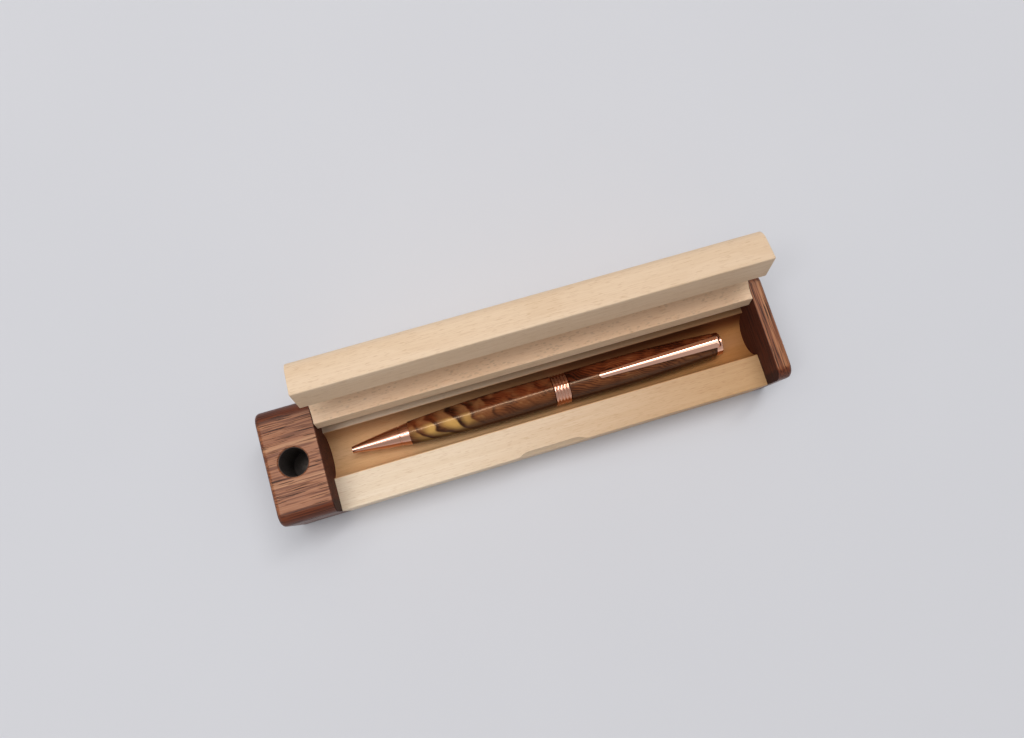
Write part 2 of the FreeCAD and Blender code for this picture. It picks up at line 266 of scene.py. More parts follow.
@dataclass(frozen=True)
class Speckle:
    """A soft random pattern around 0.5.

    Attributes:
        per_mm: how many waves it has in a millimetre, along X, Y and Z.
        detail: how many finer layers it has.
        warp: how much it twists itself.
        marks: values of the pattern between which marks grow to their full strength.
    """

    per_mm: Triple
    detail: float = 2.0
    warp: float = 0.0
    marks: Span = (0.0, 1.0)


class SurfaceGraph(Graph):
    """The node tree of a material, with the patterns that its finish is made of."""

    def __init__(self, name: str) -> None:
        """Make a material.

        Args:
            name: the material's name.
        """
        self.material = bpy.data.materials.new(name)
        self.material.use_nodes = True
        super().__init__(self.material.node_tree)
        self.shader = self.add("ShaderNodeBsdfPrincipled")
        output = self.add("ShaderNodeOutputMaterial")
        self.feed(output.inputs["Surface"], self.shader.outputs["BSDF"])

    def set(self, **values: Value) -> None:
        """Feed the shader's inputs, named in lower case with underscores.

        Args:
            values: what each input gets.
        """
        for key, value in values.items():
            name = key.replace("_", " ")
            socket = next(s for s in self.shader.inputs if s.name.lower() == name)
            if socket.type == "RGBA" and isinstance(value, tuple):
                value = (*value, 1.0)
            self.feed(socket, value)

    def place(self, grain: Grain = Grain.ALONG) -> Socket:
        """Give the place on the piece in millimetres.

        Args:
            grain: the direction that is laid along X.

        Returns:
            The place, as a vector.
        """
        point = self.add("ShaderNodeTexCoord").outputs["Object"]
        rotation = (0.0, 0.0, math.radians(grain.value))
        scale = (1 / MM, 1 / MM, 1 / MM)
        return self.call("ShaderNodeMapping", {"Vector": point, "Rotation": rotation, "Scale": scale})

    def parts(self, vector: Value) -> tuple[Socket, Socket, Socket]:
        """Split a vector.

        Args:
            vector: the vector.

        Returns:
            Its three numbers.
        """
        node = self.add("ShaderNodeSeparateXYZ")
        self.feed(node.inputs[0], vector)
        return node.outputs[0], node.outputs[1], node.outputs[2]

    def vector(self, operation: str, first: Value, second: Value) -> Socket:
        """Work out one step of vector arithmetic."""
        return self.call("ShaderNodeVectorMath", {0: first, 1: second}, operation=operation)

    def reach(self, first: Value, second: Value, centre: Span) -> Socket:
        """Give the distance from a centre.

        Args:
            first: the place's first number.
            second: its second number.
            centre: the centre's two numbers.

        Returns:
            The distance.
        """
        off = [self.math("SUBTRACT", part, middle) for part, middle in zip((first, second), centre)]
        squares = [self.math("POWER", part, 2.0) for part in off]
        return self.math("SQRT", self.math("ADD", *squares))

    def noise(self, place: Value, pattern: Speckle) -> Socket:
        """Give a random pattern.

        Args:
            place: where it is looked up, in millimetres.
            pattern: its fineness.

        Returns:
            A number around 0.5.
        """
        inputs = {
            "Vector": self.vector("MULTIPLY", place, pattern.per_mm),
            "Scale": 1.0,
            "Detail": pattern.detail,
            "Distortion": pattern.warp,
        }
        return self.call("ShaderNodeTexNoise", inputs, "Fac")

    def marks(self, place: Value, pattern: Speckle, top: float = 1.0) -> Socket:
        """Give the marks of a random pattern, from 0 to top."""
        return self.window(self.noise(place, pattern), pattern.marks, top)

    def window(self, value: Value, span: Span, top: float = 1.0) -> Socket:
        """Rise smoothly from 0 at the span's first value to top at its second."""
        inputs = {"Value": value, "From Min": span[0], "From Max": span[1], "To Min": 0.0, "To Max": top}
        return self.call("ShaderNodeMapRange", inputs, "Result", interpolation_type="SMOOTHSTEP")

    def spread(self, value: Value, span: Span) -> Socket:
        """Move a number that runs from 0 to 1 on to a span."""
        inputs = {"Value": value, "To Min": span[0], "To Max": span[1]}
        return self.call("ShaderNodeMapRange", inputs, "Result")

    def ramp(self, value: Value, stops: list[tuple[float, Colour]]) -> Socket:
        """Turn a number into a colour.

        Args:
            value: the number.
            stops: places between 0 and 1, each with its colour.

        Returns:
            The colour.
        """
        node = self.add("ShaderNodeValToRGB")
        node.color_ramp.interpolation = "EASE"
        marks = node.color_ramp.elements
        while len(marks) < len(stops):
            marks.new(1.0)
        for mark, (position, colour) in zip(marks, stops):
            mark.position = position
            mark.color = (*colour, 1.0)
        self.feed(node.inputs["Fac"], value)
        return node.outputs["Color"]

    def mix(self, share: Value, first: Value, second: Value, blend: str = "MIX") -> Socket:
        """Mix two colours.

        Args:
            share: how much of the second is taken.
            first: a colour or its socket.
            second: a colour or its socket.
            blend: how they are mixed.

        Returns:
            The mixed colour.
        """
        pair = [(*c, 1.0) if isinstance(c, tuple) else c for c in (first, second)]
        inputs = {0: share, 6: pair[0], 7: pair[1]}
        return self.call("ShaderNodeMix", inputs, 2, data_type="RGBA", blend_type=blend)

    def tint(self, share: Value, colour: Value, tint: Colour) -> Socket:
        """Multiply a share of a colour by a tint."""
        return self.mix(share, colour, self.mix(1.0, colour, tint, "MULTIPLY"))

    def bump(self, height: Value, relief: Relief) -> None:
        """Raise the surface by a height pattern from 0 to 1.

        Args:
            height: the pattern.
            relief: what a height of 1 stands for, in millimetres, and how strongly it is shown.
        """
        node = self.add("ShaderNodeBump")
        self.feed(node.inputs["Height"], height)
        self.feed(node.inputs["Distance"], relief[0] * MM)
        self.feed(node.inputs["Strength"], relief[1])
        self.feed(self.shader.inputs["Normal"], node.outputs["Normal"])


@dataclass(frozen=True)
class Trough:
    """A half-round trough that runs along X, as a region of a piece.

    Attributes:
        y: place of its axis across the case, in millimetres.
        z: height of its axis, in millimetres.
        radius: its radius, in millimetres.
        blur: distances past its wall, in millimetres, between which the region ends.
    """

    y: float
    z: float
    radius: float
    blur: Span = (0.35, 0.05)

    def depth(self, graph: SurfaceGraph, place: Socket) -> Socket:
        """Give the trough's wall.

        Args:
            graph: the material's tree.
            place: the place on the piece, in millimetres.

        Returns:
            The region, from 0 to 1.
        """
        _, y, z = graph.parts(place)
        reach = graph.reach(y, z, (self.y, self.z))
        return graph.window(reach, (self.radius + self.blur[0], self.radius + self.blur[1]))


@dataclass(frozen=True)
class Drilling:
    """A drilled hole in the middle of a block that runs down along Z, as a region of a piece.

    Attributes:
        x: place of its axis along the case, in millimetres.
        radius: its radius, in millimetres.
        blur: distances past its wall, in millimetres, between which the region ends.
    """

    x: float
    radius: float
    blur: Span = (0.3, 0.02)

    def depth(self, graph: SurfaceGraph, place: Socket) -> Socket:
        """Give the inside of the hole.

        Args:
            graph: the material's tree.
            place: the place on the piece, in millimetres.

        Returns:
            The region, from 0 to 1.
        """
        along, across, _ = graph.parts(place)
        reach = graph.reach(along, across, (self.x, 0.0))
        return graph.window(reach, (self.radius + self.blur[0], self.radius + self.blur[1]))


@dataclass(frozen=True)
class Maple:
    """Pale maple with faint growth rings, fine fibres and short flecks, lightly oiled.

    Attributes:
        name: the finish's name.
        trough: the half-round trough in this piece.
        trough_shade_and_light: colour that the trough is multiplied by, as painted shade where it darkens and as
            painted light where it brightens.
        right_tint: colour that the wood is multiplied by at the case's right end.
        lip_shade_tint: colour of the painted shade along the trough's rear wall and lip, by which the wood is
            multiplied.
        torn: how strongly the trough's wall is torn in small flecks.
        pale, middle, deep: the wood's colours, from its lightest tone to its darkest.
        middle_tone: tone at which the middle colour is reached.
        fleck: colour of the torn flecks.
        right_span: places along the case, in millimetres, between which the right end's colour grows.
        lip_span: places along the case, in millimetres, between which the lip's painted shade grows.
        lip_strength: how strong the lip's painted shade is at those places.
        lip_rise: distances past the trough's rear edge, in millimetres, between which it sets in.
        lip_edge: distances past that edge between which most of it ends.
        ledge_fade: distances past that edge between which the rest of it ends, on the ledge.
        ledge_share: how much of it is left on the ledge.
        pith: place of the tree's middle across and above the case, in millimetres.
        ring_spacing: width of one year's growth, in millimetres.
        ring_tone: how dark a ring is.
        wobble, wobble_reach: how the rings waver, and by how many millimetres.
        late_wood, year_end: parts of a year between which a ring darkens, and ends.
        fibre, fibre_tone: the fibres, and their lightest and darkest tones.
        cloud, cloud_tone: broad clouds, and their lightest and darkest tones.
        dash, dash_strength, dash_tint: short flecks in the grain, how strong they are, and their tint.
        tear_cells: torn flecks in a millimetre, along X, Y and Z.
        tear_edge: distances from a fleck's middle, in cells, between which it ends.
        tear_rag, rag_reach: how ragged the flecks are, and by how much.
        tear_patch: where the flecks lie.
        fibre_height, tear_height: heights of fibres and flecks, against a dash of 1.
        gloss: roughness, from the smoothest to the coarsest fibre.
        specular: level of the oil's shine.
        relief: depth of the grain, in millimetres, and how strongly it is shown.
    """

    name: str
    trough: Trough
    trough_shade_and_light: Colour
    right_tint: Colour
    lip_shade_tint: Optional[Colour] = None
    torn: float = 0.0
    pale: Colour = (0.880, 0.730, 0.560)
    middle: Colour = (0.810, 0.640, 0.460)
    deep: Colour = (0.660, 0.470, 0.300)
    middle_tone: float = 0.45
    fleck: Colour = (0.430, 0.280, 0.160)
    right_span: Span = (-62.0, 92.0)
    lip_span: Span = (-45.0, 40.0)
    lip_strength: Span = (0.5, 1.0)
    lip_rise: Span = (-5.0, -0.4)
    lip_edge: Span = (0.1, 0.0)
    ledge_fade: Span = (3.5, 2.0)
    ledge_share: float = 0.4
    pith: Span = (34.0, -62.0)
    ring_spacing: float = 2.6
    ring_tone: float = 0.12
    wobble: Speckle = Speckle((0.008, 0.035, 0.035))
    wobble_reach: Span = (-7.0, 7.0)
    late_wood: Span = (0.35, 0.95)
    year_end: Span = (1.0, 0.96)
    fibre: Speckle = Speckle((0.05, 3.2, 3.2), 3.0)
    fibre_tone: Span = (-0.24, 0.46)
    cloud: Speckle = Speckle((0.014, 0.10, 0.10))
    cloud_tone: Span = (-0.26, 0.46)
    dash: Speckle = Speckle((0.34, 3.4, 3.4), 1.0, marks=(0.58, 0.70))
    dash_strength: float = 0.5
    dash_tint: Colour = (0.78, 0.68, 0.58)
    tear_cells: Triple = (0.55, 1.2, 1.2)
    tear_edge: Span = (0.42, 0.2)
    tear_rag: Speckle = Speckle((1.4, 4.0, 4.0))
    rag_reach: Span = (-0.16, 0.16)
    tear_patch: Speckle = Speckle((0.11, 0.5, 0.5), marks=(0.42, 0.58))
    fibre_height: float = 0.6
    tear_height: float = 1.5
    gloss: Span = (0.42, 0.62)
    specular: float = 0.35
    relief: Relief = (0.05, 0.5)

    def build(self) -> bpy.types.Material:
        """Make the material.

        Returns:
            The material.
        """
        graph = SurfaceGraph(self.name)
        place = graph.place()
        fibre = graph.noise(place, self.fibre)
        cloud = graph.noise(place, self.cloud)
        tone = graph.product(self.rings(graph, place), self.ring_tone)
        tone = graph.math("ADD", tone, graph.spread(fibre, self.fibre_tone))
        tone = graph.math("ADD", tone, graph.spread(cloud, self.cloud_tone))
        stops = [(0.0, self.pale), (self.middle_tone, self.middle), (1.0, self.deep)]
        colour = graph.ramp(tone, stops)
        along, _, _ = graph.parts(place)
        colour = graph.tint(graph.window(along, self.right_span), colour, self.right_tint)
        dash = graph.marks(place, self.dash, self.dash_strength)
        colour = graph.tint(dash, colour, self.dash_tint)
        inside = self.trough.depth(graph, place)
        # Painted light and shade: the trough is multiplied by a tint, darker in the base and paler in the lid.
        colour = graph.tint(inside, colour, self.trough_shade_and_light)
        # Painted shade along the trough's rear wall and lip.
        if self.lip_shade_tint:
            colour = graph.tint(self.lip(graph, place), colour, self.lip_shade_tint)
        height = graph.math("SUBTRACT", graph.product(fibre, self.fibre_height), dash)
        if self.torn:
            tear = graph.product(self.tears(graph, place), inside)
            colour = graph.mix(graph.product(tear, self.torn), colour, self.fleck)
            height = graph.math("SUBTRACT", height, graph.product(tear, self.tear_height))
        graph.set(base_color=colour, roughness=graph.spread(fibre, self.gloss))
        graph.set(specular_ior_level=self.specular)
        graph.bump(height, self.relief)
        return graph.material

    def rings(self, graph: SurfaceGraph, place: Socket) -> Socket:
        """Give the growth rings: tubes about a far pith, dark at the end of each year.

        Args:
            graph: the material's tree.
            place: the place on the piece, in millimetres.

        Returns:
            The rings, from 0 to 1.
        """
        _, y, z = graph.parts(place)
        waver = graph.spread(graph.noise(place, self.wobble), self.wobble_reach)
        reach = graph.math("ADD", graph.reach(y, z, self.pith), waver)
        year = graph.math("FRACT", graph.math("DIVIDE", reach, self.ring_spacing))
        return graph.product(graph.window(year, self.late_wood), graph.window(year, self.year_end))

    def lip(self, graph: SurfaceGraph, place: Socket) -> Socket:
        """Give the painted shade on the trough's rear wall and lip, weaker at the nib's end.

        Args:
            graph: the material's tree.
            place: the place on the piece, in millimetres.

        Returns:
            The painted shade, from 0 to 1.
        """
        along, across, _ = graph.parts(place)
        past = graph.math("SUBTRACT", across, self.trough.y + self.trough.radius)
        wall = graph.window(past, self.lip_edge, 1.0 - self.ledge_share)
        ledge = graph.window(past, self.ledge_fade, self.ledge_share)
        strength = graph.spread(graph.window(along, self.lip_span), self.lip_strength)
        return graph.product(graph.window(past, self.lip_rise), graph.math("ADD", wall, ledge), strength)

    def tears(self, graph: SurfaceGraph, place: Socket) -> Socket:
        """Give the small torn flecks, which lie in patches.

        Args:
            graph: the material's tree.
            place: the place on the piece, in millimetres.

        Returns:
            The flecks, from 0 to 1.
        """
        cells = {"Vector": graph.vector("MULTIPLY", place, self.tear_cells), "Scale": 1.0}
        spot = graph.call("ShaderNodeTexVoronoi", cells, "Distance")
        rag = graph.spread(graph.noise(place, self.tear_rag), self.rag_reach)
        torn = graph.window(graph.math("ADD", spot, rag), self.tear_edge)
        return graph.product(torn, graph.marks(place, self.tear_patch))


@dataclass(frozen=True)
class DarkHardwood:
    """Polished reddish-brown hardwood with dark streaks and open pores.

    Attributes:
        name: the finish's name.
        grain: which way the grain runs.
        edge: distance from the middle of the case, in millimetres, where painted shade darkens the wood towards the
            sides.
        ends: places along the case, in millimetres, of its two sawn end faces.
        drilling: the hole in this piece, whose wall is painted nearly black as shade.
        night: colour of the pores.
        deep, middle, light: the wood's colours, from its darkest tone to its lightest.
        middle_tone, light_tone: tones at which the middle and the light colour are reached.
        edge_shade_tint, end_grain_and_shade_tint: colours that the wood is multiplied by past the edge, as painted
        shade on the rounded sides, and on the sawn faces, partly for darker end grain and partly as painted shade.
        hole_shade: colour painted on the hole's wall as its shade.
        sheen: tint of the polish's shine.
        band, band_tone: broad bands, and their darkest and lightest tones.
        fibre, fibre_tone: the fibres, and their darkest and lightest tones.
        streak, streak_strength: dark streaks, and how strong they are.
        pore, pore_strength: open pores, and how strong they are.
        edge_span: how far the turn at the edge takes, in millimetres.
        edge_waver: how far the edge wavers with the bands, in millimetres.
        sawn_span: depths under a sawn face, in millimetres, between which its colour grows.
        streak_depth, fibre_height: depth of a streak and height of a fibre, against a pore of 1.
        gloss: roughness, from the smoothest to the coarsest fibre.
        open_gloss: roughness that open grain adds.
        sawn_gloss: roughness of the sawn faces.
        specular: level of the polish's shine.
        relief: depth of the grain, in millimetres, and how strongly it is shown.
    """

    name: str
    grain: Grain
    edge: float
    ends: Span
    drilling: Optional[Drilling] = None
    night: Colour = (0.022, 0.006, 0.004)
    deep: Colour = (0.105, 0.020, 0.008)
    middle: Colour = (0.290, 0.095, 0.036)
    light: Colour = (0.440, 0.200, 0.094)
    middle_tone: float = 0.4
    light_tone: float = 0.85
    edge_shade_tint: Colour = (0.42, 0.25, 0.20)
    end_grain_and_shade_tint: Colour = (0.27, 0.12, 0.08)
    hole_shade: Colour = (0.085, 0.072, 0.068)
    sheen: Colour = (1.0, 0.84, 0.70)
    band: Speckle = Speckle((0.010, 0.42, 0.42), 4.0, 0.3)
    band_tone: Span = (-0.20, 1.10)
    fibre: Speckle = Speckle((0.05, 3.0, 3.0), 3.0)
    fibre_tone: Span = (-0.30, 0.40)
    streak: Speckle = Speckle((0.05, 1.7, 1.7), marks=(0.50, 0.60))
    streak_strength: float = 0.78
    pore: Speckle = Speckle((0.12, 2.5, 2.5), 1.5, marks=(0.59, 0.66))
    pore_strength: float = 0.9
    edge_span: float = 1.4
    edge_waver: Span = (-1.6, 1.6)
    sawn_span: Span = (0.5, 0.1)
    streak_depth: float = 0.35
    fibre_height: float = 0.3
    gloss: Span = (0.30, 0.42)
    open_gloss: float = 0.2
    sawn_gloss: float = 0.85
    specular: float = 0.46
    relief: Relief = (0.06, 0.5)

    def build(self) -> bpy.types.Material:
        """Make the material.

        Returns:
            The material.
        """
        graph = SurfaceGraph(self.name)
        place = graph.place(self.grain)
        band = graph.noise(place, self.band)
        fibre = graph.noise(place, self.fibre)
        tone = graph.math("ADD", graph.spread(band, self.band_tone), graph.spread(fibre, self.fibre_tone))
        stops = [(0.0, self.deep), (self.middle_tone, self.middle), (self.light_tone, self.light)]
        colour = graph.ramp(tone, stops)
        streak = graph.marks(place, self.streak)
        colour = graph.mix(graph.product(streak, self.streak_strength), colour, self.deep)
        pore = graph.marks(place, self.pore)
        colour = graph.mix(graph.product(pore, self.pore_strength), colour, self.night)
        # Painted shade: the wood darkens along the rounded sides of the case.
        colour = graph.tint(self.rim_shade(graph, band), colour, self.edge_shade_tint)
        sawn = self.sawn(graph)
        # Sawn faces: partly darker end grain, partly painted shade.
        colour = graph.tint(sawn, colour, self.end_grain_and_shade_tint)
        # Painted shade: the hole's wall is coloured nearly black.
        if self.drilling:
            colour = graph.mix(self.drilling.depth(graph, graph.place()), colour, self.hole_shade)
        open_grain = graph.math("ADD", pore, graph.product(streak, self.streak_depth))
        height = graph.math("SUBTRACT", graph.product(fibre, self.fibre_height), open_grain)
        gloss = graph.product(open_grain, self.open_gloss)
        gloss = graph.math("ADD", graph.spread(fibre, self.gloss), gloss)
        gloss = graph.math("MAXIMUM", gloss, graph.product(sawn, self.sawn_gloss))
        graph.set(base_color=colour, roughness=gloss)
        graph.set(specular_ior_level=self.specular, specular_tint=self.sheen)
        graph.bump(height, self.relief)
        return graph.material

    def rim_shade(self, graph: SurfaceGraph, band: Socket) -> Socket:
        """Give the painted shade along both sides of the case.

        Args:
            graph: the material's tree.
            band: the wood's bands, with which the edge wavers.

        Returns:
            The painted shade, from 0 to 1.
        """
        _, across, _ = graph.parts(graph.place())
        out = graph.math("ADD", graph.math("ABSOLUTE", across), graph.spread(band, self.edge_waver))
        return graph.window(out, (self.edge - self.edge_span / 2, self.edge + self.edge_span / 2))

    def sawn(self, graph: SurfaceGraph) -> Socket:
        """Give the two sawn end faces.

        Args:
            graph: the material's tree.

        Returns:
            The faces, from 0 to 1.
        """
        along, _, _ = graph.parts(graph.place())
        off = graph.math("ABSOLUTE", graph.math("SUBTRACT", along, sum(self.ends) / 2))
        half = (self.ends[1] - self.ends[0]) / 2
        return graph.window(off, (half - self.sawn_span[0], half - self.sawn_span[1]))


@dataclass(frozen=True)
class FiguredWood:
    """High-gloss turned wood: gold leaf shapes near the nib, feathered grain in the rest.

    Attributes:
        name: the finish's name.
        girth: the barrels' greatest radius, in millimetres.
        change: places along the pen, in millimetres, between which feathers give way to leaves.
        front_turn: shares of the girth between which the rear side passes into the front.
        night, deep, brown, tan: the wood's colours, from its darkest tone to its lightest.
        deep_tone, brown_tone, tan_tone: tones at which the last three are reached.
        gold: colour of the leaves.
        shadow: colour of the painted shade low on the front.
        back_tint: colour that the pen's rear side is multiplied by.
        shine: tint of the lacquer's mirror images.
        cloud, cloud_tone: broad clouds, and their darkest and lightest tones.
        fibre, fibre_tone: the fibres, and their darkest and lightest tones.
        feather_spacing: distance from one fine streak to the next, in millimetres.
        feather_slant: how much a streak's place changes along the pen and across it.
        feather_bend, feather_reach: how the streaks bend, and by how many millimetres.
        feather_tone: how strong the streaks are in the upper and in the lower barrel.
        leaf_spacing: distance from one leaf shape to the next, in millimetres.
        leaf_sweep, leaf_curve: how far the leaves sweep along the pen on their way down the front, in
            millimetres, and the power that bends their way.
        back_sweep: how far they sweep back over the rear side, in millimetres.
        leaf_bend, leaf_reach: how the leaves bend, and by how many millimetres.
        leaf_count: whole leaves added, so that the count stays above zero.
        leaf_rise, leaf_fall: parts of a leaf between which its colour grows, and ends.
        seam_start, seam_end: parts of a leaf between which the seams beside it end.
        leaf_fade, fade_strength: places along the pen, in millimetres, between which the leaves grow
            clearer, and how clear they are there.
        patch: where the leaves show away from the gold.
        leaf_strength: how strong the tan leaves are on the rear side and on the front.
        seam_strength: how strong the dark seams are on the rear side and on the front.
        gold_place: place along the pen, in millimetres, where the gold is strongest.
        gold_span: distances from there, in millimetres, between which the gold grows.
        gold_strength: how strong it is.
        low_waver, low_turn, low_strength: how the painted shade low on the front wavers, shares of the girth
        between which it grows, and how strong it is.
        smear: faint handling smears.
        gloss: roughness, from clean lacquer to smeared.
        specular: level of the lacquer's shine.
        relief: depth of the smears, in millimetres, and how strongly it is shown.
    """

    name: str = "lacquered_wood"
    girth: float = 5.6
    change: Span = (13.0, 11.0)
    front_turn: Span = (-0.25, 0.05)
    night: Colour = (0.022, 0.006, 0.003)
    deep: Colour = (0.085, 0.022, 0.008)
    brown: Colour = (0.185, 0.058, 0.019)
    tan: Colour = (0.330, 0.145, 0.054)
    deep_tone: float = 0.25
    brown_tone: float = 0.5
    tan_tone: float = 0.85
    gold: Colour = (0.620, 0.355, 0.100)
    shadow: Colour = (0.040, 0.013, 0.006)
    back_tint: Colour = (0.80, 0.56, 0.52)
    shine: Colour = (1.0, 0.70, 0.46)
    cloud: Speckle = Speckle((0.10, 0.17, 0.17), 3.0, 0.6)
    cloud_tone: Span = (-0.44, 1.10)
    fibre: Speckle = Speckle((0.7, 2.2, 2.2), 2.0, 0.8)
    fibre_tone: Span = (-0.12, 0.14)
    feather_spacing: float = 0.95
    feather_slant: Span = (0.42, 0.9)
    feather_bend: Speckle = Speckle((0.08, 0.12, 0.12))
    feather_reach: Span = (-4.0, 4.0)
    feather_tone: Span = (0.13, 0.06)
    leaf_spacing: float = 6.4
    leaf_sweep: float = 9.0
    leaf_curve: float = 2.4
    back_sweep: float = 3.6
    leaf_bend: Speckle = Speckle((0.10, 0.14, 0.14))
    leaf_reach: Span = (-3.6, 3.6)
    leaf_count: float = 40.0
    leaf_rise: Span = (0.06, 0.65)
    leaf_fall: Span = (0.98, 0.80)
    seam_start: Span = (0.24, 0.0)
    seam_end: Span = (0.88, 1.0)
    leaf_fade: Span = (6.0, -24.0)
    fade_strength: Span = (0.3, 1.0)
    patch: Speckle = Speckle((0.16, 0.25, 0.25), marks=(0.34, 0.62))
    leaf_strength: Span = (0.62, 0.16)
    seam_strength: Span = (0.5, 0.88)
    gold_place: float = -29.5
    gold_span: Span = (14.0, 4.2)
    gold_strength: Span = (0.0, 0.95)
    low_waver: Span = (-0.25, 0.25)
    low_turn: Span = (0.28, 0.85)
    low_strength: float = 0.88
    smear: Speckle = Speckle((0.10, 0.25, 0.25), marks=(0.45, 0.75))
    gloss: Span = (0.12, 0.17)
    specular: float = 0.36
    relief: Relief = (0.002, 0.2)

    def build(self) -> bpy.types.Material:
        """Make the material.

        Returns:
            The material.
        """
        graph = SurfaceGraph(self.name)
        place = graph.place()
        along, across, _ = graph.parts(place)
        front = graph.math("DIVIDE", across, -self.girth)
        side = graph.window(front, self.front_turn)
        lower = graph.window(along, self.change)
        cloud = graph.noise(place, self.cloud)
        colour = self.ground(graph, place, cloud, lower)
        colour = graph.mix(side, graph.mix(1.0, colour, self.back_tint, "MULTIPLY"), colour)
        away = graph.math("ABSOLUTE", graph.math("SUBTRACT", along, self.gold_place))
        rich = graph.window(away, self.gold_span)
        clear = graph.spread(graph.window(along, self.leaf_fade), self.fade_strength)
        clear = graph.product(lower, clear, graph.math("MAXIMUM", graph.marks(place, self.patch), rich))
        leaf, seam = self.leaves(graph, place, along, front)
        pale = graph.product(leaf, clear, graph.spread(side, self.leaf_strength))
        colour = graph.mix(pale, colour, self.tan)
        gold = graph.product(leaf, side, graph.spread(rich, self.gold_strength), lower)
        colour = graph.mix(gold, colour, self.gold)
        dark = graph.product(seam, clear, graph.spread(side, self.seam_strength))
        colour = graph.mix(dark, colour, self.night)
        # Painted shade: the wood is darkened low on the pen's front.
        low = graph.math("ADD", front, graph.spread(cloud, self.low_waver))
        colour = graph.mix(graph.window(low, self.low_turn, self.low_strength), colour, self.shadow)
        smear = graph.marks(place, self.smear)
        graph.set(base_color=colour, roughness=graph.spread(smear, self.gloss))
        graph.set(specular_ior_level=self.specular, specular_tint=self.shine)
        graph.bump(smear, self.relief)
        return graph.material

    def ground(self, graph: SurfaceGraph, place: Socket, cloud: Socket, lower: Socket) -> Socket:
        """Give the wood's ground colour: clouds, fibres and fine slanted streaks that fan out.

        Args:
            graph: the material's tree.
            place: the place on the pen, in millimetres.
            cloud: the clouds.
            lower: 1 on the lower barrel and 0 on the upper.

        Returns:
            The colour.
        """
        along, across, _ = graph.parts(place)
        bend = graph.spread(graph.noise(place, self.feather_bend), self.feather_reach)
        slant = [graph.product(part, rate) for part, rate in zip((along, across), self.feather_slant)]
        turn = graph.math("ADD", graph.math("ADD", *slant), bend)
        feather = graph.math("SINE", graph.product(turn, 2 * math.pi / self.feather_spacing))
        fibre = graph.noise(place, self.fibre)
        tone = graph.math("ADD", graph.spread(cloud, self.cloud_tone), graph.spread(fibre, self.fibre_tone))
        tone = graph.math("ADD", tone, graph.product(feather, graph.spread(lower, self.feather_tone)))
        stops = [
            (0.0, self.night),
            (self.deep_tone, self.deep),
            (self.brown_tone, self.brown),
            (self.tan_tone, self.tan),
        ]
        return graph.ramp(tone, stops)

    def leaves(
        self, graph: SurfaceGraph, place: Socket, along: Socket, front: Socket
    ) -> tuple[Socket, Socket]:
        """Give the leaf shapes, which sweep along the pen as they come down its front.

        Args:
            graph: the material's tree.
            place: the place on the pen, in millimetres.
            along: its part along the pen.
            front: how far it is to the front, as a share of the girth.

        Returns:
            The leaves, and the dark seams between them, each from 0 to 1.
        """
        down = graph.math("POWER", graph.math("MAXIMUM", front, 0.0), self.leaf_curve)
        back = graph.math("MAXIMUM", graph.product(front, -1.0), 0.0)
        bend = graph.spread(graph.noise(place, self.leaf_bend), self.leaf_reach)
        reach = graph.math("SUBTRACT", along, graph.product(down, self.leaf_sweep))
        reach = graph.math("ADD", reach, graph.product(back, self.back_sweep))
        reach = graph.math("DIVIDE", graph.math("ADD", reach, bend), self.leaf_spacing)
        share = graph.math("FRACT", graph.math("ADD", reach, self.leaf_count))
        leaf = graph.product(graph.window(share, self.leaf_rise), graph.window(share, self.leaf_fall))
        seams = [graph.window(share, span) for span in (self.seam_start, self.seam_end)]
        return leaf, graph.math("MAXIMUM", *seams)


@dataclass(frozen=True)
class PolishedMetal:
    """Polished or drawn metal with turning lines and faint handling smears.

    Attributes:
        name: the finish's name.
        colour: the metal's colour.
        gloss: roughness, from clean metal to smeared.
        smear: the smears.
        lines: the turning lines, fine along X.
        relief: depth of the lines, in millimetres, and how strongly it is shown.
    """

    name: str
    colour: Colour
    gloss: Span
    smear: Speckle = Speckle((0.12, 0.2, 0.2), 3.0, 0.6, (0.42, 0.7))
    lines: Speckle = Speckle((5.0, 0.05, 0.05))
    relief: Relief = (0.004, 0.35)

    def build(self) -> bpy.types.Material:
        """Make the material.

        Returns:
            The material.
        """
        graph = SurfaceGraph(self.name)
        place = graph.place()
        smear = graph.marks(place, self.smear)
        graph.set(base_color=self.colour, metallic=1.0, roughness=graph.spread(smear, self.gloss))
        graph.bump(graph.noise(place, self.lines), self.relief)
        return graph.material


DRAWN_STEEL = PolishedMetal("drawn_steel", (0.56, 0.56, 0.55), (0.28, 0.42))
ROSE_PLATING = PolishedMetal("rose_plating", (0.86, 0.49, 0.36), (0.06, 0.14))
# A darker copy of the rose plating for the cone and the band: painted shade.
SHADED_ROSE_PLATING = PolishedMetal("turned_rose_plating", (0.66, 0.36, 0.26), (0.06, 0.14))
PLAIN_BRASS = PolishedMetal("plain_brass", (0.74, 0.52, 0.22), (0.2, 0.36))
TURNED_BRASS = PolishedMetal("turned_brass", (0.70, 0.50, 0.23), (0.24, 0.4))
INK_TUBE_STEEL = PolishedMetal("ink_tube_steel", (0.58, 0.58, 0.57), (0.22, 0.38))


@dataclass(frozen=True)
class MouldedPlastic:
    """Plain black moulded plastic with a fine even texture.

    Attributes:
        name: the finish's name.
        colour: the plastic's colour.
        texture: the mould's texture.
        gloss: roughness, from the smoothest to the coarsest place.
        relief: depth of the texture, in millimetres, and how strongly it is shown.
    """

    name: str = "black_plastic"
    colour: Colour = (0.030, 0.030, 0.032)
    texture: Speckle = Speckle((9.0, 9.0, 9.0))
    gloss: Span = (0.4, 0.6)
    relief: Relief = (0.01, 0.4)

    def build(self) -> bpy.types.Material:
        """Make the material.

        Returns:
            The material.
        """
        graph = SurfaceGraph(self.name)
        texture = graph.noise(graph.place(), self.texture)
        graph.set(base_color=self.colour, roughness=graph.spread(texture, self.gloss))
        graph.bump(texture, self.relief)
        return graph.material


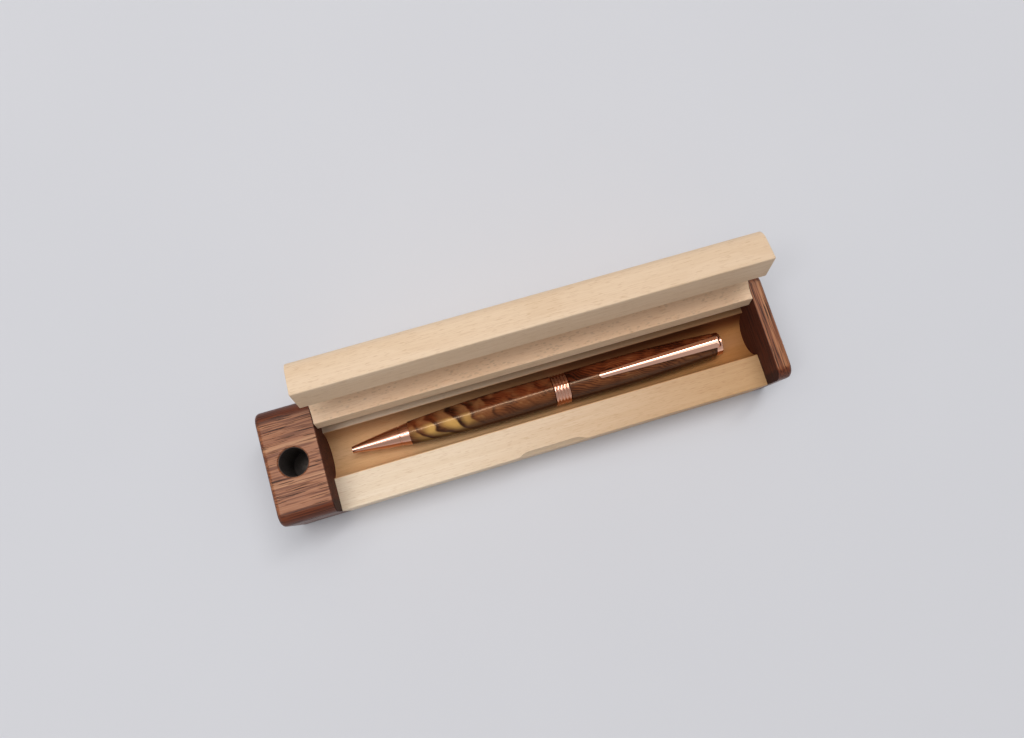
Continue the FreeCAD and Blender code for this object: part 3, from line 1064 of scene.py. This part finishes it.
@dataclass(frozen=True)
class PaleSheet:
    """The pale floor: matt, faintly cloudy, and as bright as the backdrop where it is far away.

    Attributes:
        backdrop: colour that the far floor shows to the camera and to polished surfaces.
        name: the finish's name.
        light, shade: its lighter and its darker colour.
        cloud: its clouds.
        far_span: distances from the case, in millimetres, between which the backdrop's colour grows.
        roughness: its roughness.
        specular: level of its shine.
    """

    backdrop: Colour
    name: str = "pale_sheet"
    light: Colour = (0.690, 0.690, 0.722)
    shade: Colour = (0.650, 0.650, 0.684)
    cloud: Speckle = Speckle((0.006, 0.006, 0.006), 3.0)
    far_span: Span = (700.0, 2200.0)
    roughness: float = 0.8
    specular: float = 0.2

    def build(self) -> bpy.types.Material:
        """Make the material.

        Returns:
            The material.
        """
        graph = SurfaceGraph(self.name)
        place = graph.place()
        colour = graph.mix(graph.noise(place, self.cloud), self.light, self.shade)
        reach = graph.call("ShaderNodeVectorMath", {0: place}, "Value", operation="LENGTH")
        far = graph.product(graph.window(reach, self.far_span), graph.seen())
        graph.set(base_color=graph.mix(far, colour, BLACK))
        graph.set(emission_color=self.backdrop, emission_strength=far)
        graph.set(roughness=self.roughness, specular_ior_level=self.specular)
        return graph.material


class TurnedGraph(Graph):
    """A geometry tree that turns an outline about the pen's axis, one lap after another.

    A lap is a round strip whose ends are two points of the outline. Laps that follow each other
    round a closed outline make a closed shell with its faces outwards.
    """

    def __init__(self, name: str, sizes: dict[str, float], counts: dict[str, int]) -> None:
        """Make a tree with its named inputs.

        Args:
            name: the tree's name.
            sizes: the names of its lengths, with their values in metres.
            counts: the names of its whole numbers, with their values.
        """
        super().__init__(bpy.data.node_groups.new(name, "GeometryNodeTree"))
        self.values = {**sizes, **counts}
        face = self.tree.interface
        for key in sizes:
            face.new_socket(key, in_out="INPUT", socket_type="NodeSocketFloat")
        for key in counts:
            face.new_socket(key, in_out="INPUT", socket_type="NodeSocketInt")
        face.new_socket("Finish", in_out="INPUT", socket_type="NodeSocketMaterial")
        face.new_socket("Geometry", in_out="OUTPUT", socket_type="NodeSocketGeometry")
        self.inputs = self.add("NodeGroupInput").outputs
        self.output = self.add("NodeGroupOutput")

    def lap(self, rows: Value, along: Course, radius: Rule) -> Socket:
        """Add one round strip.

        Args:
            rows: how many rows of faces it has.
            along: gives the place along the pen from a share of the lap.
            radius: gives the radius from the place along the pen and the share.

        Returns:
            The strip's geometry.
        """
        inputs = {"Vertices": self.inputs["Sides"], "Side Segments": rows, "Radius": 1.0, "Depth": 1.0}
        strip = self.call("GeometryNodeMeshCylinder", inputs, "Mesh", fill_type="NONE")
        point = self.add("ShaderNodeSeparateXYZ")
        self.feed(point.inputs[0], self.call("GeometryNodeInputPosition", {}))
        share = self.math("ADD", point.outputs[2], 0.5)
        x = along(share)
        r = radius(x, share)
        height = self.math("MULTIPLY", point.outputs[1], r)
        place = {
            0: x,
            1: self.math("MULTIPLY", point.outputs[0], r),
            2: self.math("ADD", height, self.inputs["Axis height"]),
        }
        place = self.call("ShaderNodeCombineXYZ", place)
        return self.call("GeometryNodeSetPosition", {"Geometry": strip, "Position": place})

    def between(self, first: Value, last: Value, share: Value) -> Socket:
        """Give the value a share of the way from first to last."""
        way = self.math("SUBTRACT", last, first)
        return self.math("ADD", first, self.math("MULTIPLY", way, share))

    def straight(self, rows: int, ends: tuple[Value, Value], radii: tuple[Value, Value]) -> Socket:
        """Add a strip that is straight from one point of the outline to the next."""
        return self.lap(
            rows,
            lambda share: self.between(ends[0], ends[1], share),
            lambda x, share: self.between(radii[0], radii[1], share),
        )

    def close(self, laps: list[Socket]) -> None:
        """Join the laps into one shell, and end the tree.

        Args:
            laps: the geometry of every lap, in order.
        """
        join = self.add("GeometryNodeJoinGeometry")
        for lap in reversed(laps):
            self.tree.links.new(lap, join.inputs[0])
        shell = self.call("GeometryNodeRealizeInstances", {0: join.outputs[0]})
        shell = self.call("GeometryNodeMergeByDistance", {"Geometry": shell, "Distance": MERGE_DISTANCE})
        shell = self.call("GeometryNodeSetShadeSmooth", {"Geometry": shell})
        shell = self.call("GeometryNodeSetMaterial", {"Geometry": shell, "Material": self.inputs["Finish"]})
        self.feed(self.output.inputs["Geometry"], shell)

    def piece(self, name: str, finish: bpy.types.Material) -> bpy.types.Object:
        """Run the tree and keep its result as a plain mesh.

        Args:
            name: the piece's name.
            finish: its material.

        Returns:
            The piece.
        """
        piece = bpy.data.objects.new(name, bpy.data.meshes.new(name))
        bpy.context.scene.collection.objects.link(piece)
        modifier = piece.modifiers.new("turned", "NODES")
        modifier.node_group = self.tree
        for socket in self.tree.interface.items_tree:
            if socket.in_out == "INPUT":
                modifier[socket.identifier] = self.values.get(socket.name, finish)
        keep_result(piece)
        return piece


def keep_result(piece: bpy.types.Object) -> None:
    """Turn a piece's modifiers into its plain mesh.

    Args:
        piece: the piece, which keeps its name.
    """
    bpy.context.view_layer.update()
    graph = bpy.context.evaluated_depsgraph_get()
    mesh = bpy.data.meshes.new_from_object(piece.evaluated_get(graph))
    mesh.name = piece.name
    piece.modifiers.clear()
    piece.data = mesh


def ease_edges(piece: bpy.types.Object, width: float, segments: int = 2, angle: float = 32.0) -> None:
    """Round a piece's sharp edges a little, as sanding and polishing do.

    Args:
        piece: the piece.
        width: width of the rounding in millimetres.
        segments: faces across the rounding.
        angle: edges that turn by more degrees than this are rounded.
    """
    for face in piece.data.polygons:
        face.use_smooth = True
    bevel = piece.modifiers.new("eased", "BEVEL")
    bevel.width = width * MM
    bevel.segments = segments
    bevel.limit_method = "ANGLE"
    bevel.angle_limit = math.radians(angle)
    bevel.miter_outer = "MITER_ARC"
    bevel.harden_normals = True
    keep_result(piece)


def eased_copy(
    node: str, name: str, width: float, form: Optional[Form] = None
) -> bpy.types.Object:
    """Copy a node's shape and round its sharp edges.

    Args:
        node: the node of the frame.
        name: the new piece's name.
        width: width of the rounding in millimetres.
        form: a function that gives the copy a finer form before its edges are rounded.

    Returns:
        The new piece.
    """
    source = frame["nodes"][node].data
    mesh = bpy.data.meshes.new(name)
    corners = [vertex.co for vertex in source.vertices]
    mesh.from_pydata(corners, [], [list(face.vertices) for face in source.polygons])
    work = bmesh.new()
    work.from_mesh(mesh)
    bmesh.ops.remove_doubles(work, verts=work.verts, dist=MERGE_DISTANCE)
    bmesh.ops.dissolve_limit(work, angle_limit=FLAT_ANGLE, verts=work.verts, edges=work.edges)
    if form:
        form(work)
    work.to_mesh(mesh)
    work.free()
    piece = bpy.data.objects.new(name, mesh)
    bpy.context.scene.collection.objects.link(piece)
    ease_edges(piece, width)
    return piece


def mount_piece(piece: bpy.types.Object, body: Body, node: str) -> None:
    """Put a finished piece in the frame in place of a node, with the node's own material slot.

    Args:
        piece: the finished piece.
        body: the body that carries it.
        node: the node that it stands for.
    """
    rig.ride(piece, body.value)
    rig.replaces(piece, node)
    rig.slot(piece, SLOTS[node])
    LOG.info("%s rides on %s, %d faces", piece.name, body.value, len(piece.data.polygons))


def dress(piece: bpy.types.Object, finish: bpy.types.Material) -> None:
    """Give a piece one material."""
    piece.data.materials.clear()
    piece.data.materials.append(finish)


def dress_node(node: str, finish: bpy.types.Material) -> None:
    """Give a node of the frame a better material in its own slots.

    Args:
        node: the node, which keeps its shape.
        finish: the material.
    """
    for slot in frame["nodes"][node].material_slots:
        slot.material = finish
    LOG.info("%s keeps its shape", node)


@dataclass
class Case:
    """The fixed part of the case: maple base, two dark end blocks and the hinge pins.

    Attributes:
        edge_ease: rounding of the wood's cut edges, in millimetres.
        trough_radius: radius of the base's trough, in millimetres.
        hole_radius: radius of the pen stand hole, in millimetres.
        stand_shade_strip: width of the painted shade along the thick block's sides, in millimetres.
        end_shade_strip: width of the painted shade along the thin block's sides, in millimetres.
    """

    edge_ease: float = 0.22
    trough_radius: float = 7.9
    hole_radius: float = 4.75
    stand_shade_strip: float = 4.2
    end_shade_strip: float = 3.4

    def build(self) -> None:
        """Make the wooden pieces and dress the pins."""
        finishes = {"base": self.maple(), "stand_block": self.stand_wood(), "end_block": self.end_wood()}
        for node, finish in finishes.items():
            piece = eased_copy(node, "eased_" + node, self.edge_ease)
            dress(piece, finish.build())
            mount_piece(piece, Body.CASE, node)
        steel = DRAWN_STEEL.build()
        for node in ("left_hinge_pin", "right_hinge_pin"):
            dress_node(node, steel)

    def maple(self) -> Maple:
        """Give the base's finish.

        Returns:
            The finish.
        """
        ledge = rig.box("base")[1].z / MM
        return Maple(
            "oiled_maple",
            Trough(0.0, ledge, self.trough_radius),
            # The base's trough is darker and warmer: painted shade.
            trough_shade_and_light=(0.88, 0.66, 0.44),
            right_tint=(0.62, 0.44, 0.27),
            # Painted shade on the trough's rear wall and lip.
            lip_shade_tint=(0.30, 0.18, 0.15),
        )

    def stand_wood(self) -> DarkHardwood:
        """Give the thick block's finish, with its grain along the case.

        Returns:
            The finish.
        """
        low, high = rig.box("stand_block")
        ends = (low.x / MM, high.x / MM)
        hole = Drilling(sum(ends) / 2, self.hole_radius)
        return DarkHardwood("dark_wood_along", Grain.ALONG, high.y / MM - self.stand_shade_strip, ends, hole)

    def end_wood(self) -> DarkHardwood:
        """Give the thin block's finish, with its grain across the case.

        Returns:
            The finish.
        """
        low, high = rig.box("end_block")
        ends = (low.x / MM, high.x / MM)
        return DarkHardwood("dark_wood_across", Grain.ACROSS, high.y / MM - self.end_shade_strip, ends)


@dataclass
class Lid:
    """The maple lid, standing open.

    Attributes:
        edge_ease: rounding of the wood's cut edges, in millimetres.
        trough_radius: radius of the lid's trough, in millimetres.
    """

    edge_ease: float = 0.22
    trough_radius: float = 7.9

    def build(self) -> None:
        """Make the lid."""
        finish = Maple(
            "oiled_maple_lid",
            self.trough(),
            # The lid's trough is made paler: painted light.
            trough_shade_and_light=(1.12, 1.10, 1.10),
            right_tint=(0.92, 0.90, 0.88),
            torn=0.3,
            pale=(0.840, 0.635, 0.445),
            middle=(0.775, 0.560, 0.370),
            deep=(0.630, 0.410, 0.240),
        ).build()
        piece = eased_copy("lid", "eased_lid", self.edge_ease)
        dress(piece, finish)
        mount_piece(piece, Body.LID, "lid")

    def trough(self) -> Trough:
        """Find the trough of the open lid by swinging the shut one about its hinge.

        Returns:
            The trough.
        """
        hinge = next(joint for joint in frame["joints"] if joint["name"] == "lid_hinge")
        pivot = Vector(hinge["pos_m"]) / MM
        turn = Matrix.Rotation(-math.radians(hinge["range_deg"][1]), 3, Vector(hinge["axis"]))
        shut = Vector((0.0, 0.0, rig.box("base")[1].z / MM))
        place = pivot + turn @ (shut - pivot)
        return Trough(place.y, place.z, self.trough_radius)


@dataclass
class Pen:
    """The twist pen that lies in the trough.

    Attributes:
        sides: faces round a turned piece.
        rows: faces along a barrel.
        peak_radius: greatest radius of both barrels, in millimetres.
        lower_peak: distance of the lower barrel's thickest place from the band, in millimetres.
        upper_peak: distance of the upper barrel's thickest place from the band, in millimetres.
        lower_ends: radii of the lower barrel's ends, in millimetres.
        upper_ends: radii of the upper barrel's ends, in millimetres.
        bore_radius: radius of the barrels' bore, in millimetres.
        band_bore: radius of the centre band's bore, in millimetres.
        clip_widths: widths of the clip at its tip and its root, in millimetres.
        clip_bend: length of the clip's bend at its root, in millimetres.
        clip_crown: depth of the clip's rounded upper edges, in millimetres.
        dome_depth: drop of the clip's domed top to its edges, as a share of its half width.
        dome_cuts: faces from the clip's middle line to its edge.
        ribs: ridges on the centre band.
        rib_height: height of a ridge, in millimetres.
        rib_rows: faces across a ridge.
        barrel_end_rows, barrel_bore_rows: faces across a barrel's ends and along its bore.
        band_end_rows, band_bore_rows: faces across the band's ends and along its bore.
        wood_ease: rounding of the barrels' ends, in millimetres.
        wood_ease_faces: faces across that rounding.
        wood_ease_angle: the barrels' edges that turn by more degrees than this are rounded.
        metal_ease: rounding of the metal's edges, in millimetres.
    """

    sides: int = 96
    rows: int = 72
    peak_radius: float = 5.6
    lower_peak: float = 13.0
    upper_peak: float = 16.4
    lower_ends: Span = (4.15, 5.45)
    upper_ends: Span = (5.45, 4.3)
    bore_radius: float = 3.6
    band_bore: float = 2.65
    clip_widths: Span = (2.1, 4.2)
    clip_bend: float = 1.2
    clip_crown: float = 0.8
    dome_depth: float = 0.28
    dome_cuts: int = 6
    ribs: int = 5
    rib_height: float = 0.35
    rib_rows: int = 10
    barrel_end_rows: int = 2
    barrel_bore_rows: int = 8
    band_end_rows: int = 1
    band_bore_rows: int = 2
    wood_ease: float = 0.12
    wood_ease_faces: int = 3
    wood_ease_angle: float = 60.0
    metal_ease: float = 0.09

    def build(self) -> None:
        """Make the pen's outer pieces and dress its inner ones."""
        wood = FiguredWood(girth=self.peak_radius).build()
        rose = ROSE_PLATING.build()
        # The cone and the band take the darker copy of the plating: painted shade.
        turned = SHADED_ROSE_PLATING.build()
        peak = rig.box("lower_barrel")[1].x - self.lower_peak * MM
        self.barrel("lower_barrel", Body.PEN_LOWER, self.lower_ends, peak, wood)
        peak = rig.box("upper_barrel")[0].x + self.upper_peak * MM
        self.barrel("upper_barrel", Body.PEN_UPPER, self.upper_ends, peak, wood)
        self.band(turned)
        for node, body, finish, form in (
            ("nib_cone", Body.PEN_LOWER, turned, None),
            ("clip", Body.PEN_UPPER, rose, self.dome_clip),
            ("end_cap", Body.PEN_UPPER, rose, None),
        ):
            piece = eased_copy(node, "polished_" + node, self.metal_ease, form)
            dress(piece, finish)
            mount_piece(piece, body, node)
        self.dress_inside()

    def axis(self) -> float:
        """Give the height of the pen's axis, in metres."""
        low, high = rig.box("lower_barrel")
        return (low.z + high.z) / 2

    def barrel(
        self, node: str, body: Body, ends: Span, peak: float, finish: bpy.types.Material
    ) -> None:
        """Make a barrel that swells to its thickest place and falls away on both sides of it.

        Args:
            node: the node that it stands for.
            body: the body that carries it.
            ends: radii at its two ends, in millimetres.
            peak: its thickest place along the pen, in metres.
            finish: its material.
        """
        low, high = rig.box(node)
        sizes = {
            "Start": low.x,
            "End": high.x,
            "Peak": peak,
            "Start radius": ends[0] * MM,
            "Peak radius": self.peak_radius * MM,
            "End radius": ends[1] * MM,
            "Bore radius": self.bore_radius * MM,
            "Axis height": self.axis(),
        }
        graph = TurnedGraph("turned " + node, sizes, {"Sides": self.sides, "Rows": self.rows})
        start, end, bore = (graph.inputs[key] for key in ("Start", "End", "Bore radius"))
        laps = [
            graph.lap(graph.inputs["Rows"], lambda t: graph.between(start, end, t), swell_rule(graph)),
            graph.straight(self.barrel_end_rows, (end, end), (graph.inputs["End radius"], bore)),
            graph.straight(self.barrel_bore_rows, (end, start), (bore, bore)),
            graph.straight(self.barrel_end_rows, (start, start), (bore, graph.inputs["Start radius"])),
        ]
        graph.close(laps)
        piece = graph.piece("turned_" + node, finish)
        ease_edges(piece, self.wood_ease, self.wood_ease_faces, self.wood_ease_angle)
        mount_piece(piece, body, node)

    def band(self, finish: bpy.types.Material) -> None:
        """Make the ribbed centre band: one ridge, repeated along the pen.

        Args:
            finish: its material.
        """
        low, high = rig.box("centre_band")
        pitch = (high.x - low.x) / self.ribs
        rise = self.rib_height * MM
        sizes = {
            "Start": low.x,
            "Pitch": pitch,
            "Ridge radius": (pitch * pitch / 4 + rise * rise) / (2 * rise),
            "Outer radius": self.lower_ends[1] * MM,
            "Valley radius": self.lower_ends[1] * MM - rise,
            "Bore radius": self.band_bore * MM,
            "Axis height": self.axis(),
        }
        counts = {"Sides": self.sides, "Ribs": self.ribs, "Rib rows": self.rib_rows}
        graph = TurnedGraph("ribbed band", sizes, counts)
        start, step, bore, valley = (
            graph.inputs[key] for key in ("Start", "Pitch", "Bore radius", "Valley radius")
        )
        ridge = graph.lap(
            graph.inputs["Rib rows"],
            lambda t: graph.between(start, graph.math("ADD", start, step), t),
            ridge_rule(graph),
        )
        offset = graph.call("ShaderNodeCombineXYZ", {0: step})
        line = {"Count": graph.inputs["Ribs"], "Offset": offset}
        spots = graph.call("GeometryNodeMeshLine", line, "Mesh", mode="OFFSET")
        ridges = graph.call("GeometryNodeInstanceOnPoints", {"Points": spots, "Instance": ridge})
        end = graph.math("ADD", start, graph.math("MULTIPLY", step, graph.inputs["Ribs"]))
        laps = [
            ridges,
            graph.straight(self.band_end_rows, (end, end), (valley, bore)),
            graph.straight(self.band_bore_rows, (end, start), (bore, bore)),
            graph.straight(self.band_end_rows, (start, start), (bore, valley)),
        ]
        graph.close(laps)
        piece = graph.piece("ribbed_band", finish)
        mount_piece(piece, Body.PEN_UPPER, "centre_band")

    def dome_clip(self, work: bmesh.types.BMesh) -> None:
        """Give the clip's arm a domed top, as pressed sheet has.

        Args:
            work: the clip's mesh, which is changed.
        """
        low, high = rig.box("clip")
        tip, root = (width * MM / 2 for width in self.clip_widths)
        slope = (root - tip) / (high.x - low.x)
        # Each cut follows a line at the same share of the tapering half width.
        for cut in range(1 - self.dome_cuts, self.dome_cuts):
            share = cut / self.dome_cuts
            point = Vector((low.x, share * tip, 0.0))
            side = Vector((-share * slope, 1.0, 0.0)).normalized()
            parts = [*work.verts, *work.edges, *work.faces]
            bmesh.ops.bisect_plane(work, geom=parts, dist=MERGE_DISTANCE, plane_co=point, plane_no=side)
        bend = high.x - self.clip_bend * MM
        rise = (high.z - self.clip_tip_top(low)) / (bend - low.x)
        for vertex in work.verts:
            half = tip + slope * (vertex.co.x - low.x)
            top = self.clip_tip_top(low) + rise * (vertex.co.x - low.x)
            if vertex.co.x < bend + MERGE_DISTANCE and vertex.co.z > top - self.clip_crown * MM:
                vertex.co.z = top - self.dome_depth * half * (vertex.co.y / half) ** 2

    def clip_tip_top(self, low: Vector) -> float:
        """Give the height of the clip's top at its tip, in metres."""
        end = low.x + self.clip_bend * MM
        return max(v.co.z for v in frame["nodes"]["clip"].data.vertices if v.co.x < end)

    def dress_inside(self) -> None:
        """Dress the tubes, the twist mechanism and the refill, which keep their shapes."""
        nodes = {
            PLAIN_BRASS: ("lower_tube", "upper_tube", "refill_point"),
            TURNED_BRASS: ("twist_housing", "twist_cam"),
            INK_TUBE_STEEL: ("refill_tube",),
            MouldedPlastic(): ("twist_carrier",),
        }
        for finish, dressed in nodes.items():
            material = finish.build()
            for node in dressed:
                dress_node(node, material)


def swell_rule(graph: TurnedGraph) -> Rule:
    """Give a barrel's rule: the radius falls with the square of the distance from its peak.

    Args:
        graph: the barrel's tree.

    Returns:
        A function that gives the radius from the place along the pen.
    """
    start, end, peak = (graph.inputs[key] for key in ("Start", "End", "Peak"))
    top = graph.inputs["Peak radius"]

    def radius(x: Socket, share: Socket) -> Socket:
        """Give the radius at a place along the barrel.

        Args:
            x: the place.
            share: its share of the barrel, which this rule does without.

        Returns:
            The radius.
        """
        away = graph.math("SUBTRACT", x, peak)
        after = graph.math("GREATER_THAN", away, 0.0)
        span = graph.between(graph.math("SUBTRACT", peak, start), graph.math("SUBTRACT", end, peak), after)
        low = graph.between(graph.inputs["Start radius"], graph.inputs["End radius"], after)
        fall = graph.math("POWER", graph.math("ABSOLUTE", graph.math("DIVIDE", away, span)), 2.0)
        return graph.between(top, low, fall)

    return radius


def ridge_rule(graph: TurnedGraph) -> Rule:
    """Give a ridge's rule: an arc that rises from valley to valley.

    Args:
        graph: the band's tree.

    Returns:
        A function that gives the radius from the share of the ridge.
    """
    bend = graph.inputs["Ridge radius"]
    centre = graph.math("SUBTRACT", graph.inputs["Outer radius"], bend)

    def radius(x: Socket, share: Socket) -> Socket:
        """Give the radius at a share of the ridge.

        Args:
            x: the place along the pen, which this rule does without.
            share: the share.

        Returns:
            The radius.
        """
        off = graph.math("MULTIPLY", graph.math("SUBTRACT", share, 0.5), graph.inputs["Pitch"])
        left = graph.math("SUBTRACT", graph.math("POWER", bend, 2.0), graph.math("MULTIPLY", off, off))
        return graph.math("ADD", centre, graph.math("SQRT", left))

    return radius


@dataclass(frozen=True)
class Panel:
    """A soft light panel above the case.

    Attributes:
        name: the panel's name.
        place: where it hangs, in metres.
        size: its sides along X and Y, in metres.
        power: its power in watts.
    """

    name: str
    place: Triple
    size: Span
    power: float

    def build(self) -> None:
        """Hang the panel, facing the middle of the case."""
        lamp = bpy.data.lights.new(self.name, "AREA")
        lamp.shape = "RECTANGLE"
        lamp.size = self.size[0]
        lamp.size_y = self.size[1]
        lamp.energy = self.power
        panel = bpy.data.objects.new(self.name, lamp)
        bpy.context.scene.collection.objects.link(panel)
        panel.location = self.place
        panel.rotation_euler = (-Vector(self.place)).to_track_quat("-Z", "Y").to_euler()


@dataclass
class Studio:
    """Floor, light and camera.

    Attributes:
        floor_side: side of the square floor, in metres.
        air: colour of the even light from all round.
        air_strength: strength of that light on the object.
        horizon_strength: strength at which the camera and polished surfaces see it at the horizon.
        far_floor_strength: strength at which they see the far floor.
        sky_strength: strength at which they see it overhead.
        sky_rise: heights of a direction, from 0 to 1, between which the one passes into the other.
        camera_place: where the camera stands, in metres.
        camera_target: the point in the middle of the picture, in metres.
        camera_heading: turn of the picture's own right-hand direction about Z, in degrees.
        lens: focal length in millimetres.
        film_width: width of the camera's film in millimetres.
        panels: the light panels.
    """

    floor_side: float = 6.0
    air: Colour = (0.98, 0.99, 1.0)
    air_strength: float = 0.26
    horizon_strength: float = 0.75
    far_floor_strength: float = 0.68
    sky_strength: float = 0.5
    sky_rise: Span = (0.05, 0.5)
    camera_place: Triple = (-0.0239, -0.03005, 0.27986)
    camera_target: Triple = (-0.00184, 0.01143, 0.017)
    camera_heading: float = -16.222
    lens: float = 26.77
    film_width: float = 36.0
    panels: tuple[Panel, ...] = (
        Panel("key_panel", (-0.25, 0.50, 2.62), (3.75, 2.25), 29.5),
        Panel("strip_panel", (-0.15, 0.325, 2.25), (3.25, 0.275), 28.5),
    )

    def build(self) -> None:
        """Set up the floor, the light and the camera."""
        self.lay_floor()
        self.light_air()
        for panel in self.panels:
            panel.build()
        self.stand_camera()
        bpy.context.scene.view_settings.view_transform = "Standard"

    def lay_floor(self) -> None:
        """Lay the pale floor under the case."""
        half = self.floor_side / 2
        level = cad_box[0][2]
        corners = [(-half, -half, level), (half, -half, level), (half, half, level), (-half, half, level)]
        mesh = bpy.data.meshes.new("floor")
        mesh.from_pydata(corners, [], [(0, 1, 2, 3)])
        floor = bpy.data.objects.new("floor", mesh)
        bpy.context.scene.collection.objects.link(floor)
        backdrop = tuple(part * self.far_floor_strength for part in self.air)
        dress(floor, PaleSheet(backdrop).build())
        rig.stage(floor)

    def light_air(self) -> None:
        """Light the scene evenly, and show a paler backdrop to the camera and to polished surfaces."""
        world = bpy.data.worlds.new("air")
        world.use_nodes = True
        bpy.context.scene.world = world
        graph = Graph(world.node_tree)
        way = graph.add("ShaderNodeSeparateXYZ")
        graph.feed(way.inputs[0], graph.add("ShaderNodeTexCoord").outputs["Generated"])
        bounds = {
            "Value": way.outputs[2],
            "From Min": self.sky_rise[0],
            "From Max": self.sky_rise[1],
            "To Min": self.horizon_strength,
            "To Max": self.sky_strength,
        }
        backdrop = graph.call("ShaderNodeMapRange", bounds, "Result", interpolation_type="SMOOTHSTEP")
        gain = graph.math("MULTIPLY", graph.seen(), graph.math("SUBTRACT", backdrop, self.air_strength))
        gain = graph.math("ADD", gain, self.air_strength)
        inputs = {"Color": (*self.air, 1.0), "Strength": gain}
        light = graph.call("ShaderNodeBackground", inputs)
        graph.feed(graph.add("ShaderNodeOutputWorld").inputs["Surface"], light)

    def stand_camera(self) -> None:
        """Stand the camera where the picture was taken from."""
        place = Vector(self.camera_place)
        ahead = (Vector(self.camera_target) - place).normalized()
        turn = math.radians(self.camera_heading)
        right = Vector((math.cos(turn), math.sin(turn), 0.0))
        right = (right - right.dot(ahead) * ahead).normalized()
        above = right.cross(ahead)
        lens = bpy.data.cameras.new("camera")
        lens.lens = self.lens
        lens.sensor_fit = "HORIZONTAL"
        lens.sensor_width = self.film_width
        camera = bpy.data.objects.new("camera", lens)
        bpy.context.scene.collection.objects.link(camera)
        axes = Matrix((right, above, -ahead)).transposed().to_4x4()
        camera.matrix_world = Matrix.Translation(place) @ axes
        bpy.context.scene.camera = camera


def write_sizes(path: str = SIZE_FILE) -> str:
    """Write the frame's box and the dressed object's box.

    Args:
        path: the file to write.

    Returns:
        The path.
    """
    boxes = {"cad": cad_box, "visual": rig.bounds()}
    plain = {key: [list(corner) for corner in box] for key, box in boxes.items()}
    with open(path, "w", encoding="utf-8") as sheet:
        json.dump(plain, sheet)
    return path


def main() -> None:
    """Build the case, the lid and the pen, then the studio round them."""
    logging.basicConfig(level=logging.INFO)
    for part in (Case(), Lid(), Pen(), Studio()):
        LOG.info("building %s", type(part).__name__)
        part.build()
    LOG.info("sizes are in %s", write_sizes())


if __name__ == "__main__":
    main()
